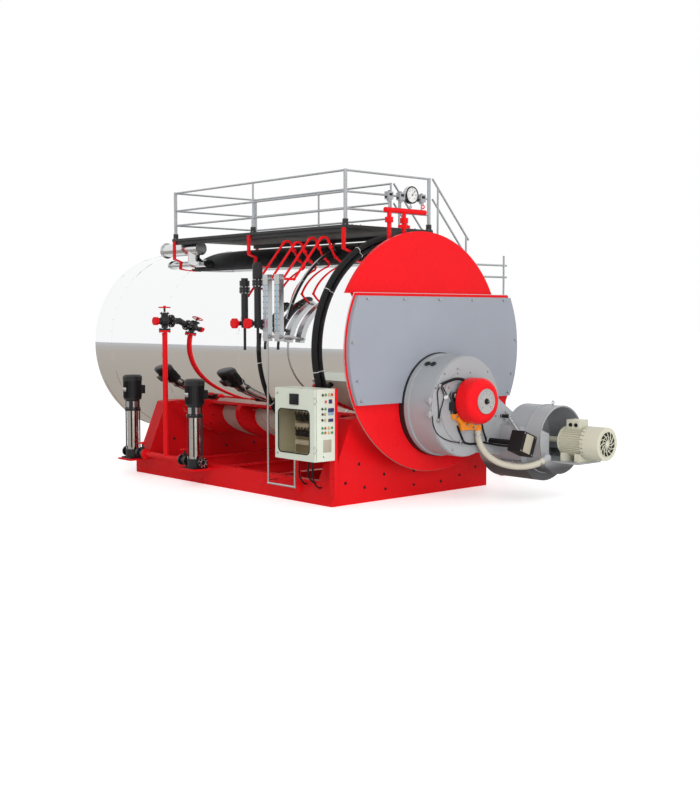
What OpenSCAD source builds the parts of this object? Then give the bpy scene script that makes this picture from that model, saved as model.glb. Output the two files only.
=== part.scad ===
// Horizontal fire-tube packaged steam boiler on a skid.
// Millimetres, +Z up, front (burner) towards -Y, origin on the floor under the middle cross member.

/* [Skid] */
// Skid width beyond the shell's diameter
skid_over = 50; // [30:5:80]
// Skid length
skid_l = 5430; // [5380:10:5480]
// Height of the side beams
beam_h = 360; // [340:5:380]
// Flange width of a side beam
beam_b = 120; // [100:5:140]
// Plate thickness of beams and saddles
plate_t = 24; // [18:1:30]
// Width of the sloped saddle flanges
saddle_b = 300; // [260:10:340]
// Half angle of shell held by a saddle
saddle_wrap = 52; // [50:0.5:54]
// Lightening holes in the saddle plates
hole_d = 50; // [40:2:60]

/* [Boiler] */
// Diameter over the polished cladding
shell_d = 3400; // [3300:10:3500]
// Length of the polished shell
shell_l = 6960; // [6860:10:7100]
// Wall of plate, insulation and cladding together
shell_t = 110; // [90:5:130]
// Height of the shell's underside over the floor
shell_z = 630; // [610:5:650]
// Front tube plate's face, from the skid's middle
front_y = 2910; // [2890:5:2930]
// Front tube plate's overhang round the shell
front_over = 110; // [90:5:120]
// Thickness of the front tube plate
front_t = 60; // [50:5:80]
// Lower smokebox's overhang round the shell
smoke_over = 180; // [165:5:190]
// Depth of the lower smokebox
smoke_t = 270; // [250:5:290]
// Thickness of the smokebox's red front flange
smoke_plate = 30; // [20:5:40]
// Height of the smokebox lip over the shell's axis
lip_z = 842; // [820:2:860]
// Thickness of the grey front panel
panel_t = 70; // [60:5:80]
// Rear end plate thickness
rear_t = 60; // [50:5:80]
// Rear access door diameter
door_d = 760; // [720:10:800]
// Flue outlet bore
flue_d = 600; // [560:10:640]
// Flue outlet length
flue_l = 240; // [220:5:260]

/* [Burner] */
// Burner axis below the shell's axis
burner_drop = 850; // [840:2:860]
// Opening in the front panel
burner_hole = 1600; // [1590:5:1620]
// Burner casing diameter
casing_d = 1520; // [1500:5:1540]
// Burner casing depth
casing_l = 520; // [500:5:540]
// Diameter of the red head cover
head_d = 690; // [670:5:700]
// Depth of the red head cover
head_l = 290; // [280:5:300]
// Depth of the head body behind the cover
neck_l = 90; // [80:5:100]
// Dial diameter
dial_d = 370; // [350:5:390]
// Fan axis to the right of the burner
fan_x = 1430; // [1410:5:1450]
// Fan axis below the burner's axis
fan_drop = 555; // [545:5:565]
// Diameter of the fan's upper housing
fan_d = 1060; // [1040:5:1070]
// Diameter of the fan's lower scroll
scroll_d = 1320; // [1300:5:1340]
// Fan housing depth ahead of the casing's face
inlet_l = 700; // [680:5:720]
// Scroll's front plate behind the drum's front
scroll_in = 300; // [280:5:320]
// Sheet of the fan housing
fan_wall = 14; // [10:1:18]
// Motor frame diameter
motor_d = 470; // [450:5:480]
// Motor frame length
motor_l = 400; // [380:5:420]
// Motor fan cowl length
cowl_l = 330; // [310:5:350]
// Cooling fins round a motor
fins = 40; // [36:1:44]

/* [Platform] */
// Top of the deck over the shell's top
deck_up = 214; // [200:2:230]
// Deck plate thickness
deck_t = 45; // [40:1:50]
// Deck width
deck_w = 1940; // [1900:10:1980]
// Deck front edge, from the skid's middle
deck_front = 2170; // [2150:5:2190]
// Deck rear edge, from the skid's middle
deck_rear = 2610; // [2560:5:2660]
// Railing height
rail_h = 850; // [820:5:900]
// Rail tube diameter
rail_d = 34; // [30:1:38]
// Post tube diameter
post_d = 60; // [54:1:64]
// Width of the stair opening
stair_w = 900; // [860:10:940]
// Drop from the deck to the landing
landing_drop = 1204; // [1190:2:1220]
// Landing length across
landing_l = 800; // [780:10:840]
// Clearance from the shell's side to the landing
landing_gap = 380; // [360:5:400]

/* [Feed pumps] */
// Pump axis from the skid's outer face
pump_out = 225; // [215:1:235]
// Height of the pump foot
pump_z = 300; // [290:2:310]
// Rear pump's place along the skid
pump_y1 = 2450; // [2440:5:2460]
// Middle pump's place along the skid
pump_y2 = 500; // [480:5:520]
// Sleeve diameter
sleeve_d = 200; // [190:1:206]
// Sleeve length
sleeve_l = 690; // [660:5:720]
// Pump motor diameter
pmotor_d = 340; // [330:2:350]
// Pump motor length
pmotor_l = 300; // [280:5:320]
// Feed pipe diameter
pipe_d = 90; // [80:2:100]

/* [Control cabinet] */
// Cabinet width along the skid
cab_w = 915; // [900:5:950]
// Cabinet height
cab_h = 1056; // [1020:4:1090]
// Cabinet depth
cab_d = 350; // [330:5:370]
// Underside of the cabinet
cab_z = 720; // [700:5:740]
// Rear edge of the cabinet, ahead of the skid's middle
cab_y = 1940; // [1930:5:1950]
// Sheet thickness of the cabinet
cab_t = 12; // [8:1:16]
// Window width
win_w = 718; // [700:2:720]
// Window height
win_h = 644; // [620:4:660]

/* [Hidden] */

red = [0.86, 0.09, 0.1];
steel = [0.8, 0.81, 0.82];
grey = [0.62, 0.64, 0.67];
black = [0.1, 0.1, 0.11];
galv = [0.72, 0.74, 0.76];
cream = [0.82, 0.81, 0.72];
pale = [0.86, 0.89, 0.83];

shell_r = shell_d / 2;
axis_z = shell_z + shell_r;
top_z = axis_z + shell_r;
skid_w = shell_d + skid_over;
half_w = skid_w / 2;
half_l = skid_l / 2;
front_d = shell_d + 2 * front_over;
smoke_d = shell_d + 2 * smoke_over;
shell_y0 = -front_y + front_t;
shell_y1 = shell_y0 + shell_l;
smoke_y = -front_y - smoke_t;
panel_y = smoke_y - panel_t;
burner_z = axis_z - burner_drop;
fan_z = burner_z - fan_drop;
deck_z = top_z + deck_up;
landing_z = deck_z - landing_drop;

module along_y(x, y, z, d, l) translate([x, y, z]) rotate([-90, 0, 0]) cylinder(d = d, h = l, $fn = d > 1000 ? 360 : 96);
module along_x(x, y, z, d, l) translate([x, y, z]) rotate([0, 90, 0]) cylinder(d = d, h = l, $fn = 64);
module upright(x, y, z, d, l) translate([x, y, z]) cylinder(d = d, h = l, $fn = 64);
module ball(p, d) translate(p) rotate_extrude($fn = 48) intersection() { circle(d = d, $fn = 48); translate([0, -d]) square([d, 2 * d]); }
// A round bar between two points
module bar(p, q, d) {
  v = q - p;
  translate(p) rotate([0, acos(v[2] / norm(v)), atan2(v[1], v[0])]) cylinder(d = d, h = norm(v), $fn = 48);
}
// A flat profile drawn in X and Z, with depth l from y towards +Y
module slab_y(y, l) translate([0, y + l, 0]) rotate([90, 0, 0]) linear_extrude(height = l) children();
module shell_core() along_y(0, shell_y0 - front_t / 2, axis_z, shell_d, shell_l + front_t);

// Skid
module side_beam(s) {
  x0 = s < 0 ? -half_w : half_w - plate_t;
  xf = s < 0 ? -half_w : half_w - beam_b;
  y0 = -half_l + plate_t;
  l = skid_l - plate_t;
  translate([x0, y0, 0]) cube([plate_t, l, beam_h]);
  translate([xf, y0, 0]) cube([beam_b, l, plate_t]);
  translate([xf, y0, beam_h - plate_t]) cube([beam_b, l, plate_t]);
}
module side_beams() color(red) { side_beam(-1); side_beam(1); }

member_y = [-skid_l / 4, 0, skid_l / 4, half_l - beam_b / 2];
member_w = skid_w - 2 * beam_b;
module cross_members() color(red) for (y = member_y) translate([-member_w / 2, y, 0]) {
  translate([0, -plate_t / 2, 0]) cube([member_w, plate_t, beam_h]);
  translate([0, -beam_b / 2, 0]) cube([member_w, beam_b, plate_t]);
  translate([0, -beam_b / 2, beam_h - plate_t]) cube([member_w, beam_b, plate_t]);
}

// Saddles: a holed plate cut to the shell, with sloped flanges at its ends
saddle_x = shell_r * sin(saddle_wrap);
saddle_z = axis_z - shell_r * cos(saddle_wrap);
plate_holes = [[0, 175], [620, 172], [1060, 235], [1450, 335], [0, 397], [650, 402], [1175, 602]];
module saddle_profile(foot) difference() {
  polygon([[-foot, 0], [foot, 0], [foot, beam_h], [half_w, beam_h], [saddle_x, saddle_z], [-saddle_x, saddle_z], [-half_w, beam_h], [-foot, beam_h]]);
  translate([0, axis_z]) circle(d = shell_d, $fn = 360);
  for (h = plate_holes, s = [-1, 1]) translate([s * h[0], h[1]]) circle(d = hole_d, $fn = 32);
}
module saddle_flanges(y) slab_y(y, saddle_b) difference() {
  for (s = [-1, 1]) polygon([[s * half_w, beam_h], [s * saddle_x, saddle_z], [s * (saddle_x - plate_t), saddle_z], [s * (half_w - plate_t), beam_h]]);
  translate([0, axis_z]) circle(d = shell_d, $fn = 360);
}
module front_saddle() color(red) {
  slab_y(-half_l, plate_t) saddle_profile(half_w);
  saddle_flanges(-half_l);
}
rear_saddle_y = half_l - beam_b - saddle_b;
module rear_saddle() color(red) {
  slab_y(rear_saddle_y, plate_t) saddle_profile(half_w - beam_b);
  saddle_flanges(rear_saddle_y);
}

// Boiler
module boiler_shell() color(steel) difference() {
  along_y(0, shell_y0, axis_z, shell_d, shell_l);
  along_y(0, shell_y0 - front_t, axis_z, shell_d - 2 * shell_t, shell_l + 2 * front_t);
}
module rear_end_plate() color(steel) along_y(0, shell_y1, axis_z, shell_d, rear_t);
rear_y = shell_y1 + rear_t;
flue_z = axis_z + shell_r / 2;
flange_w = 90;
flange_t = 30;
module rear_fittings() color(red) {
  along_y(0, rear_y, burner_z, door_d, rear_t);
  difference() {
    union() {
      along_y(0, rear_y, flue_z, flue_d + 2 * fan_wall, flue_l);
      along_y(0, rear_y + flue_l - flange_t, flue_z, flue_d + 2 * flange_w, flange_t);
    }
    along_y(0, rear_y - 1, flue_z, flue_d, flue_l + 2);
  }
}
module front_tube_plate() color(red) difference() {
  along_y(0, -front_y, axis_z, front_d, front_t);
  translate([-front_d, -front_y - 1, 0]) cube([2 * front_d, front_t + 2, axis_z + lip_z]);
}
// A disc cut off level at the smokebox's lip
module lipped_disc(y, d, l) intersection() {
  along_y(0, y, axis_z, d, l);
  translate([-d, y, 0]) cube([2 * d, l, axis_z + lip_z]);
}
module front_smokebox() color(steel) lipped_disc(smoke_y + smoke_plate, shell_d, smoke_t - smoke_plate + front_t);
module smokebox_flange() color(red) lipped_disc(smoke_y, smoke_d, smoke_plate);
panel_low = burner_z + 60;
panel_gap = 30;
panel_top = 42;
module front_panel() color(grey) slab_y(panel_y, panel_t) difference() {
  intersection() {
    translate([0, axis_z]) circle(d = smoke_d - 2 * panel_gap, $fn = 360);
    translate([-smoke_d, panel_low]) square([2 * smoke_d, axis_z + lip_z - panel_top - panel_low]);
  }
  translate([0, burner_z]) circle(d = burner_hole, $fn = 360);
}

// Burner
ring_l = 100;
ring_y = smoke_y - ring_l;
ring_gap = 10;
rim_w = 25;
rim_l = 80;
face_t = 30;
face_y = ring_y - casing_l;
plate_gap = 15;
boss_d = 1120;
boss_t = 12;
module burner_ring() color(black) along_y(0, ring_y, burner_z, burner_hole - ring_gap, ring_l);
module burner_casing() color(grey) {
  along_y(0, face_y, burner_z, casing_d, casing_l);
  along_y(0, ring_y - rim_l, burner_z, casing_d + 2 * rim_w, rim_l);
}
module burner_face_plate() color(grey) {
  along_y(0, face_y - face_t + boss_t, burner_z, casing_d - 2 * plate_gap, face_t - boss_t);
  along_y(0, face_y - face_t, burner_z, boss_d, face_t);
}
head_up = 95;
head_z = burner_z + head_up;
neck_y = face_y - face_t - neck_l;
neck_d = head_d - 150;
cover_y = neck_y - head_l;
cover_r = 110;
module burner_head_body() color(black) along_y(0, neck_y, head_z, neck_d, neck_l);
module burner_head_cover() color(red) translate([0, neck_y, head_z]) rotate([90, 0, 0]) rotate_extrude($fn = 128) {
  square([head_d / 2 - cover_r, head_l]);
  square([head_d / 2, head_l - cover_r]);
  translate([head_d / 2 - cover_r, head_l - cover_r]) circle(r = cover_r, $fn = 64);
}
dial_t = 14;
knob_d = 60;
knob_l = 30;
module burner_dial() color(grey) {
  along_y(0, cover_y - dial_t, head_z, dial_d, dial_t);
  along_y(0, cover_y - dial_t - knob_l, head_z, knob_d, knob_l + 1);
}
// Gas valve arm across the face plate, drawn from the burner's axis, with a socket for the hose
arm_t = 60;
arm_y = face_y - face_t - arm_t - 5;
arm_low = -350;
arm_pts = [[-350, -85], [-350, -170], [-270, -185], [-190, -260], [-175, arm_low], [260, arm_low], [260, arm_low + 60], [110, arm_low + 65], [-70, -160], [-170, -100]];
socket_d = 104;
socket_l = 20;
hose_x = 190;
hose_top = burner_z + arm_low - socket_l;
module gas_valve_arm() color([0.96, 0.58, 0.12]) difference() {
  union() {
    slab_y(arm_y, arm_t) translate([0, burner_z]) polygon(arm_pts);
    along_y(-300, arm_y + arm_t - 1, burner_z - 135, 60, face_y - face_t - arm_y - arm_t + 1);
    upright(hose_x, arm_y + arm_t / 2 - 18, hose_top, socket_d, socket_l + 20);
  }
  along_y(0, neck_y - 1, head_z, neck_d + 10, neck_l + 2);
}
// Hose route from the arm's socket to the port at the fan's left side, from the casing's face and the burner's axis
hose_d = 100;
hose_route = [[190, -83, -370], [190, -83, -430], [192, -95, -500], [200, -122, -575], [216, -162, -650], [242, -214, -722], [280, -278, -785], [330, -348, -835], [390, -420, -870], [458, -495, -893], [532, -566, -905], [610, -631, -906], [692, -688, -895], [773, -732, -875], [846, -760, -849], [906, -770, -823]];
hose_pts = [for (p = hose_route) p + [0, face_y, burner_z]];
hose_last = len(hose_pts) - 1;
elbow_l = 80;
elbow_d = 132;
function elbow_c() = hose_pts[hose_last] + elbow_l * unit(hose_pts[hose_last] - hose_pts[hose_last - 1]);
module burner_hose() color([0.85, 0.83, 0.78]) tube_path(hose_pts, hose_d, 12);

// Fan: a drum with an open upper front, and a larger scroll behind its lower half
tilt = 21;
module half_disc(d, side, inset) intersection() {
  circle(d = d, $fn = 360);
  translate([-d, side > 0 ? inset : -d]) square([2 * d, d - inset]);
}
module at_fan() translate([fan_x, fan_z]) children();
module scroll_profile(shrink) at_fan() rotate(-tilt) half_disc(scroll_d - 2 * shrink, -1, shrink);
fan_back = ring_y - rim_l - 2;
fan_web = 60;
inlet_y = face_y - inlet_l;
inner_y = face_y - fan_web;
scroll_y = inlet_y + scroll_in;
lug_l = 70;
lug_t = 26;
lug_drop = 350;
lug_y = 450;
notch_w = 600;
notch_up = 150;
lip_w = 6;
module fan_housing() color(grey) {
  difference() {
    union() {
      slab_y(inlet_y, face_y - inlet_y) at_fan() circle(d = fan_d, $fn = 360);
      slab_y(scroll_y, fan_back - scroll_y) scroll_profile(0);
    }
    slab_y(inlet_y + fan_wall, inner_y - inlet_y - fan_wall) at_fan() circle(d = fan_d - 2 * fan_wall, $fn = 360);
    slab_y(scroll_y + fan_wall, inner_y - scroll_y - fan_wall) scroll_profile(fan_wall);
    slab_y(inlet_y - 1, fan_wall + 2) {
      at_fan() rotate(-tilt) half_disc(fan_d - 2 * fan_wall - 2 * lip_w, 1, 0);
      translate([fan_x - notch_w / 2, shelf_z - shelf_t - 0.5]) square([notch_w, fan_z - shelf_z + shelf_t + notch_up]);
    }
  }
  // elbow for the hose on the drum's front plate
  e = elbow_c();
  ball(e, elbow_d);
  bar(hose_pts[hose_last], e, socket_d);
  along_y(e[0], e[1], e[2], socket_d - 8, inlet_y - e[1] + fan_wall / 2);
  // split flange lugs at the scroll's two sides
  half = sqrt(pow(scroll_d / 2, 2) - pow(lug_drop, 2));
  for (s = [-1, 1]) translate([s < 0 ? fan_x - half - lug_l : fan_x + half - 12, scroll_y, fan_z - lug_drop]) cube([lug_l + 12, lug_y, lug_t]);
}
// Air duct: sheet-metal box running from the casing's side down to the fan
duct_up = 8;
duct_low = -75;
function on_circle(c, r, a) = c + r * [cos(a), sin(a)];
module air_duct() color(grey) slab_y(face_y, fan_back - face_y) difference() {
  b = [0, burner_z];
  f = [fan_x, fan_z];
  polygon([b, on_circle(b, casing_d / 2 - rim_w, duct_up), on_circle(f, fan_d / 2 + 6, 129), f - [0, fan_d / 4], on_circle(f, scroll_d / 2 - 60, 205), on_circle(b, casing_d / 2 - rim_w, duct_low)]);
  translate(b) circle(d = casing_d, $fn = 360);
  scroll_profile(0);
}

// Fan motor on a shelf inside the drum, with a ribbed frame and a slotted fan cowl
shelf_t = 24;
shelf_drop = 60;
shelf_z = fan_z - motor_d / 2 - shelf_drop;
shelf_w = 560;
motor_out = 120;
motor_y = inlet_y - motor_l - motor_out;
module motor_shelf() color(grey) translate([fan_x - shelf_w / 2, motor_y - 20, shelf_z - shelf_t]) cube([shelf_w, inner_y - motor_y + 20, shelf_t]);
fin_t = 8;
fin_h = 25;
foot_l = 80;
foot_w = 420;
box_w = 220;
box_l = 240;
box_h = 130;
shaft_d = 90;
module motor_body() color(cream) {
  slab_y(motor_y, motor_l) translate([fan_x, fan_z]) {
    circle(d = motor_d - 2 * fin_h, $fn = 96);
    for (i = [0:fins - 1]) rotate(i * 360 / fins) translate([0, -fin_t / 2]) square([motor_d / 2, fin_t]);
  }
  along_y(fan_x, motor_y + motor_l - 1, fan_z, motor_d - fin_h, 30);
  along_y(fan_x, motor_y + motor_l + 28, fan_z, shaft_d, inner_y - motor_y - motor_l - 28);
  for (y = [motor_y + 30, motor_y + motor_l - foot_l - 30]) translate([fan_x - foot_w / 2, y, shelf_z]) cube([foot_w, foot_l, shelf_drop + 70]);
  translate([fan_x - box_w / 2, motor_y + 100, fan_z + motor_d / 2 - 40]) cube([box_w, box_l, box_h]);
}
slots = 24;
slot_w = 14;
cowl_d = motor_d + 30;
grille = [[90, 16], [130, 16], [170, 16]];
module motor_cowl() color(cream) difference() {
  along_y(fan_x, motor_y - cowl_l, fan_z, cowl_d, cowl_l);
  slab_y(motor_y - cowl_l - 1, 31) translate([fan_x, fan_z]) for (g = grille) difference() {
    circle(r = g[0] + g[1] / 2, $fn = 96);
    circle(r = g[0] - g[1] / 2, $fn = 96);
    for (a = [0:60:300]) rotate(a) translate([0, -6]) square([motor_d, 12]);
  }
  slab_y(motor_y - 60, 61) translate([fan_x, fan_z]) for (i = [0:slots - 1]) rotate(i * 360 / slots) translate([motor_d / 2 - 6, -slot_w / 2]) square([40, slot_w]);
}
// Damper actuator, tilted with the duct, on a post from the duct's face, with its crank and rod
act_x = 565;
act_drop = 555;
act_b = 320;
act_t = 240;
act_y = inlet_y - 60;
crank_x = 830;
crank_drop = 150;
crank_l = 160;
rod_d = 26;
module damper_actuator() color(black) {
  translate([act_x, act_y, burner_z - act_drop]) {
    rotate([0, tilt, 0]) translate([-act_b / 2, 0, -act_b / 2]) cube([act_b, act_t, act_b]);
    along_y(0, act_t - 5, 0, 80, face_y - act_y - act_t + 5);
  }
  along_y(crank_x, face_y - crank_l, burner_z - crank_drop - 40, 60, crank_l);
  bar([crank_x, face_y - crank_l + 20, burner_z - crank_drop - 40], [act_x + 60, act_y + act_t - 40, burner_z - act_drop + act_b / 2 - 40], rod_d);
}

// Platform over the shell's top
rail_x = deck_w / 2 - 50;
rail_y0 = -deck_front + 50;
rail_y1 = deck_rear - 50;
rail_ym = (rail_y0 + rail_y1) / 2;
gap_y = rail_y0 + stair_w;
gap_ym = (gap_y + rail_y1) / 2;
beam_in = 30;
edge_h = 60;
deck_low = deck_z - deck_t;
module platform_deck() color(grey) translate([-deck_w / 2, -deck_front, deck_low]) cube([deck_w, deck_front + deck_rear, deck_t]);
module deck_beams() color(black) for (s = [-1, 1])
  translate([s < 0 ? -deck_w / 2 + beam_in : deck_w / 2 - beam_in - edge_h, -deck_front + beam_in, deck_low - edge_h]) cube([edge_h, deck_front + deck_rear - 2 * beam_in, edge_h]);
bracket_y = [rail_y0, 300, rail_y1];
bracket_b = 66;
bracket_l = 330;
strap_t = 26;
strap_l = 330;
strap_drop = 110;
module deck_brackets() color(red) difference() {
  x = deck_w / 2;
  z = deck_low - bracket_l;
  for (y = bracket_y) slab_y(y - bracket_b / 2, bracket_b) for (s = [-1, 1]) {
    polygon([[s * x, deck_low], [s * x, z], [s * (x - beam_in), z], [s * (x - beam_in), deck_low]]);
    polygon([[s * x, z + strap_t], [s * x, z], [s * (x - strap_l), z - strap_drop], [s * (x - strap_l), z - strap_drop + strap_t]]);
  }
  shell_core();
}
rail_share = [0.31, 0.62, 1];
module rails_y(x, y0, y1) for (k = rail_share) along_y(x, y0, deck_z + k * rail_h - rail_d / 2, rail_d, y1 - y0);
module side_railings() color(galv) {
  for (y = [rail_y0, rail_y1]) upright(-rail_x, y, deck_z, post_d, rail_h);
  upright(-rail_x, rail_ym, deck_z, post_d, rail_h * rail_share[0]);
  upright(-rail_x, rail_ym, deck_z, rail_d, rail_h);
  rails_y(-rail_x, rail_y0, rail_y1);
  upright(rail_x, rail_y1, deck_z, post_d, rail_h);
  for (y = [gap_y, gap_ym]) upright(rail_x, y, deck_z, rail_d, rail_h);
  rails_y(rail_x, gap_y, rail_y1);
}
module end_railings() color(galv) {
  difference() {
    for (y = [rail_y0, rail_y1], k = rail_share) along_x(-rail_x, y, deck_z + k * rail_h - rail_d / 2, rail_d, 2 * rail_x);
    upright(-rail_x, rail_y0, deck_z - 1, post_d, rail_h + 2);
    for (s = [-1, 1]) upright(s * rail_x, rail_y1, deck_z - 1, post_d, rail_h + 2);
  }
  upright(rail_x, rail_y0, deck_z, post_d, rail_h);
}
// Black sockets round the feet of the thick posts
shoe_d = 92;
shoe_h = 90;
module post_shoes() color(black) for (p = [[-rail_x, rail_y0], [-rail_x, rail_ym], [-rail_x, rail_y1], [rail_x, rail_y0], [rail_x, rail_y1]]) difference() {
  upright(p[0], p[1], deck_z, shoe_d, shoe_h);
  upright(p[0], p[1], deck_z - 1, post_d + 1, shoe_h + 2);
}

// Stair: an upper flight down to a landing at the boiler's right, a lower flight along the skid to the floor
stair_x0 = deck_w / 2;
stair_x1 = shell_r + landing_gap;
flight_run = stair_x1 - stair_x0;
landing_x1 = stair_x1 + landing_l;
stair_y0 = rail_y0 - 20;
stair_y1 = gap_y - 40;
stringer_t = 16;
stringer_b = 180;
lower_run = 2600;
lower_y0 = stair_y1 + 40;
floor_b = 120;
landing_t = 60;
module stair_stringers() color(black) {
  for (y = [stair_y0, stair_y1 - stringer_t]) slab_y(y, stringer_t)
    polygon([[stair_x0, deck_z], [stair_x1, landing_z], [stair_x1, landing_z - stringer_b], [stair_x0, deck_z - stringer_b]]);
  for (x = [stair_x1, landing_x1 - stringer_t]) translate([x + stringer_t, lower_y0, 0]) rotate([90, 0, -90]) linear_extrude(height = stringer_t)
    polygon([[0, landing_z], [-lower_run, stringer_b], [-lower_run, 0], [-lower_run + floor_b, 0], [0, landing_z - stringer_b]]);
}
up_steps = 6;
low_steps = 14;
tread_t = 30;
tread_over = 40;
// Treads of both flights, and the landing between them
module stair_treads() color(black) {
  rise = landing_drop / up_steps;
  for (i = [1:up_steps - 1]) translate([stair_x0 + (i - 0.5) * flight_run / up_steps, stair_y0 + stringer_t, deck_z - i * rise - tread_t])
    cube([flight_run / up_steps + tread_over, stair_y1 - stair_y0 - 2 * stringer_t, tread_t]);
  lrise = landing_z / low_steps;
  for (i = [1:low_steps - 1]) translate([stair_x1 + stringer_t, lower_y0 + (i - 0.5) * lower_run / low_steps, landing_z - i * lrise - tread_t])
    cube([landing_l - 2 * stringer_t, lower_run / low_steps + tread_over, tread_t]);
  translate([stair_x1, stair_y0, landing_z - landing_t]) cube([landing_l, lower_y0 - stair_y0, landing_t]);
}
leg_b = 70;
module landing_legs() color(red) for (x = [stair_x1, landing_x1 - leg_b], y = [stair_y0, lower_y0 - leg_b]) translate([x, y, 0]) cube([leg_b, leg_b, landing_z - landing_t]);
slope = landing_drop / flight_run;
lslope = landing_z / lower_run;
hand_share = [0.61, 1];
foot_back = 290;
hand_over = 130;
module stair_handrails() color(galv) {
  for (y = [stair_y0 - rail_d / 2, stair_y1 + rail_d / 2]) {
    x0 = stair_x0 + 125;
    x1 = stair_x1 - foot_back;
    for (x = [x0, x1]) upright(x, y, deck_z - slope * (x - stair_x0) - stringer_b / 2, rail_d, rail_h + stringer_b / 2 - rail_d);
    for (k = hand_share) bar([x0 - hand_over, y, deck_z - slope * (x0 - hand_over - stair_x0) + k * rail_h - rail_d / 2], [x1 + 60, y, deck_z - slope * (x1 + 60 - stair_x0) + k * rail_h - rail_d / 2], rail_d);
  }
  for (x = [stair_x1 - rail_d / 2, landing_x1 + rail_d / 2]) {
    y0 = lower_y0 + 120;
    y1 = lower_y0 + lower_run - 150;
    for (y = [y0, (y0 + y1) / 2, y1]) upright(x, y, landing_z - lslope * (y - lower_y0) - stringer_b / 2, rail_d, rail_h + stringer_b / 2 - rail_d);
    for (k = hand_share) bar([x, y0, landing_z - lslope * (y0 - lower_y0) + k * rail_h - rail_d / 2], [x, y1, landing_z - lslope * (y1 - lower_y0) + k * rail_h - rail_d / 2], rail_d);
  }
}
landing_share = [0.56, 0.8];
module landing_railings() color(galv) {
  y = stair_y0 + rail_d / 2;
  upright(landing_x1 - 70, y, landing_z, rail_d, rail_h);
  for (k = landing_share) along_x(stair_x1 - foot_back - rail_d / 2, y, landing_z + k * rail_h, rail_d, landing_l + foot_back + rail_d / 2);
}

// Main steam outlet, lying along the shell's top at the rear under the deck
outlet_d = 240;
outlet_x = -740;
outlet_z = top_z + 30;
outlet_y0 = deck_rear - 600;
outlet_y1 = deck_rear + 540;
module steam_outlet() color(steel) difference() {
  union() {
    along_y(outlet_x, outlet_y0, outlet_z, outlet_d, outlet_y1 - outlet_y0);
    along_y(outlet_x, outlet_y1 - flange_t, outlet_z, outlet_d + 50, flange_t);
    upright(outlet_x, outlet_y0 + outlet_d, axis_z, outlet_d - 20, outlet_z - axis_z);
  }
  shell_core();
  along_y(outlet_x, outlet_y1 - 200, outlet_z, outlet_d - 40, 201);
}

// Steam header, gauge and pressure switches behind the front plate
header_y = -front_y + 310;
header_z = top_z + 435;
header_d = 80;
header_x0 = -533;
header_l = 875;
riser_x = [-447, -123];
riser_d = 64;
collar_d = 130;
collar_t = 40;
cross_l = 220;
module steam_header() color(red) {
  along_x(header_x0, header_y, header_z, header_d, header_l);
  difference() {
    for (x = riser_x) { upright(x, header_y, axis_z, riser_d, header_z - axis_z); upright(x, header_y, header_z - 190, collar_d, collar_t); upright(x, header_y, header_z - 148.5, collar_d, collar_t); }
    shell_core();
  }
  // stop cock with a cross handle on the second riser
  along_x(riser_x[1] - cross_l / 2, header_y, header_z - 240, 50, cross_l);
  upright(riser_x[1], header_y, header_z - 275, 90, 70);
}
gauge_x = 20;
gauge_up = 255;
gauge_d = 270;
gauge_t = 70;
stem_d = 24;
module pressure_gauge() color(black) difference() {
  union() {
    along_y(gauge_x, header_y - gauge_t / 2, header_z + gauge_up, gauge_d, gauge_t);
    upright(gauge_x, header_y, header_z, stem_d, gauge_up - gauge_d / 2 + 10);
    upright(gauge_x, header_y, header_z + 55, 2 * stem_d, 30);
  }
  along_x(header_x0, header_y, header_z, header_d + 0.2, header_l);
}
switch_x = [-450, -200, 260];
switch_up = 160;
switch_b = 106;
module pressure_switches() color(grey) difference() {
  for (x = switch_x) {
    upright(x, header_y, header_z, stem_d, switch_up + 10);
    upright(x, header_y, header_z + switch_up - 30, 3 * stem_d, 31);
    translate([x - switch_b / 2, header_y - 45, header_z + switch_up]) cube([switch_b, 90, 118]);
  }
  along_x(header_x0, header_y, header_z, header_d + 0.2, header_l);
}

// Feed water line: manifold between the pumps, riser and stop valve at the shell
pump_x = -half_w - pump_out;
port_z = pump_z + 105;
riser_y = 1380;
port_l = 230;
body_l = 170;
valve_up = 420;
valve_z = axis_z + valve_up;
valve_d = 200;
ring_t = 30;
module feed_riser() color(red) {
  y0 = pump_y2 + port_l + body_l;
  along_y(pump_x, y0, port_z, pipe_d, pump_y1 - port_l - body_l - y0);
  for (y = [y0, pump_y1 - port_l - body_l - ring_t]) along_y(pump_x, y, port_z, 2 * pipe_d, ring_t);
  upright(pump_x, riser_y, port_z, pipe_d, valve_z - 160 - port_z);
  upright(pump_x, riser_y, valve_z - 160 - ring_t, valve_d, ring_t);
}
module feed_valve() color(black) {
  upright(pump_x, riser_y, valve_z - 160, valve_d, ring_t);
  upright(pump_x, riser_y, valve_z - 131, 110, 60);
  ball([pump_x, riser_y, valve_z], 190);
  upright(pump_x, riser_y, valve_z + 60, 120, 60);
  upright(pump_x, riser_y, valve_z + 119, 160, 24);
  upright(pump_x, riser_y, valve_z + 142, 36, 80);
  along_x(pump_x - 150, riser_y, valve_z, 110, 150);
  difference() {
    along_x(pump_x, riser_y, valve_z, 110, -pump_x);
    shell_core();
    translate([-shell_r / 2, 0, 0]) cube([shell_d, skid_l, deck_z]);
  }
  along_x(pump_x + 110, riser_y, valve_z, 220, 20);
  along_x(pump_x + 131, riser_y, valve_z, 220, 20);
}

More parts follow.
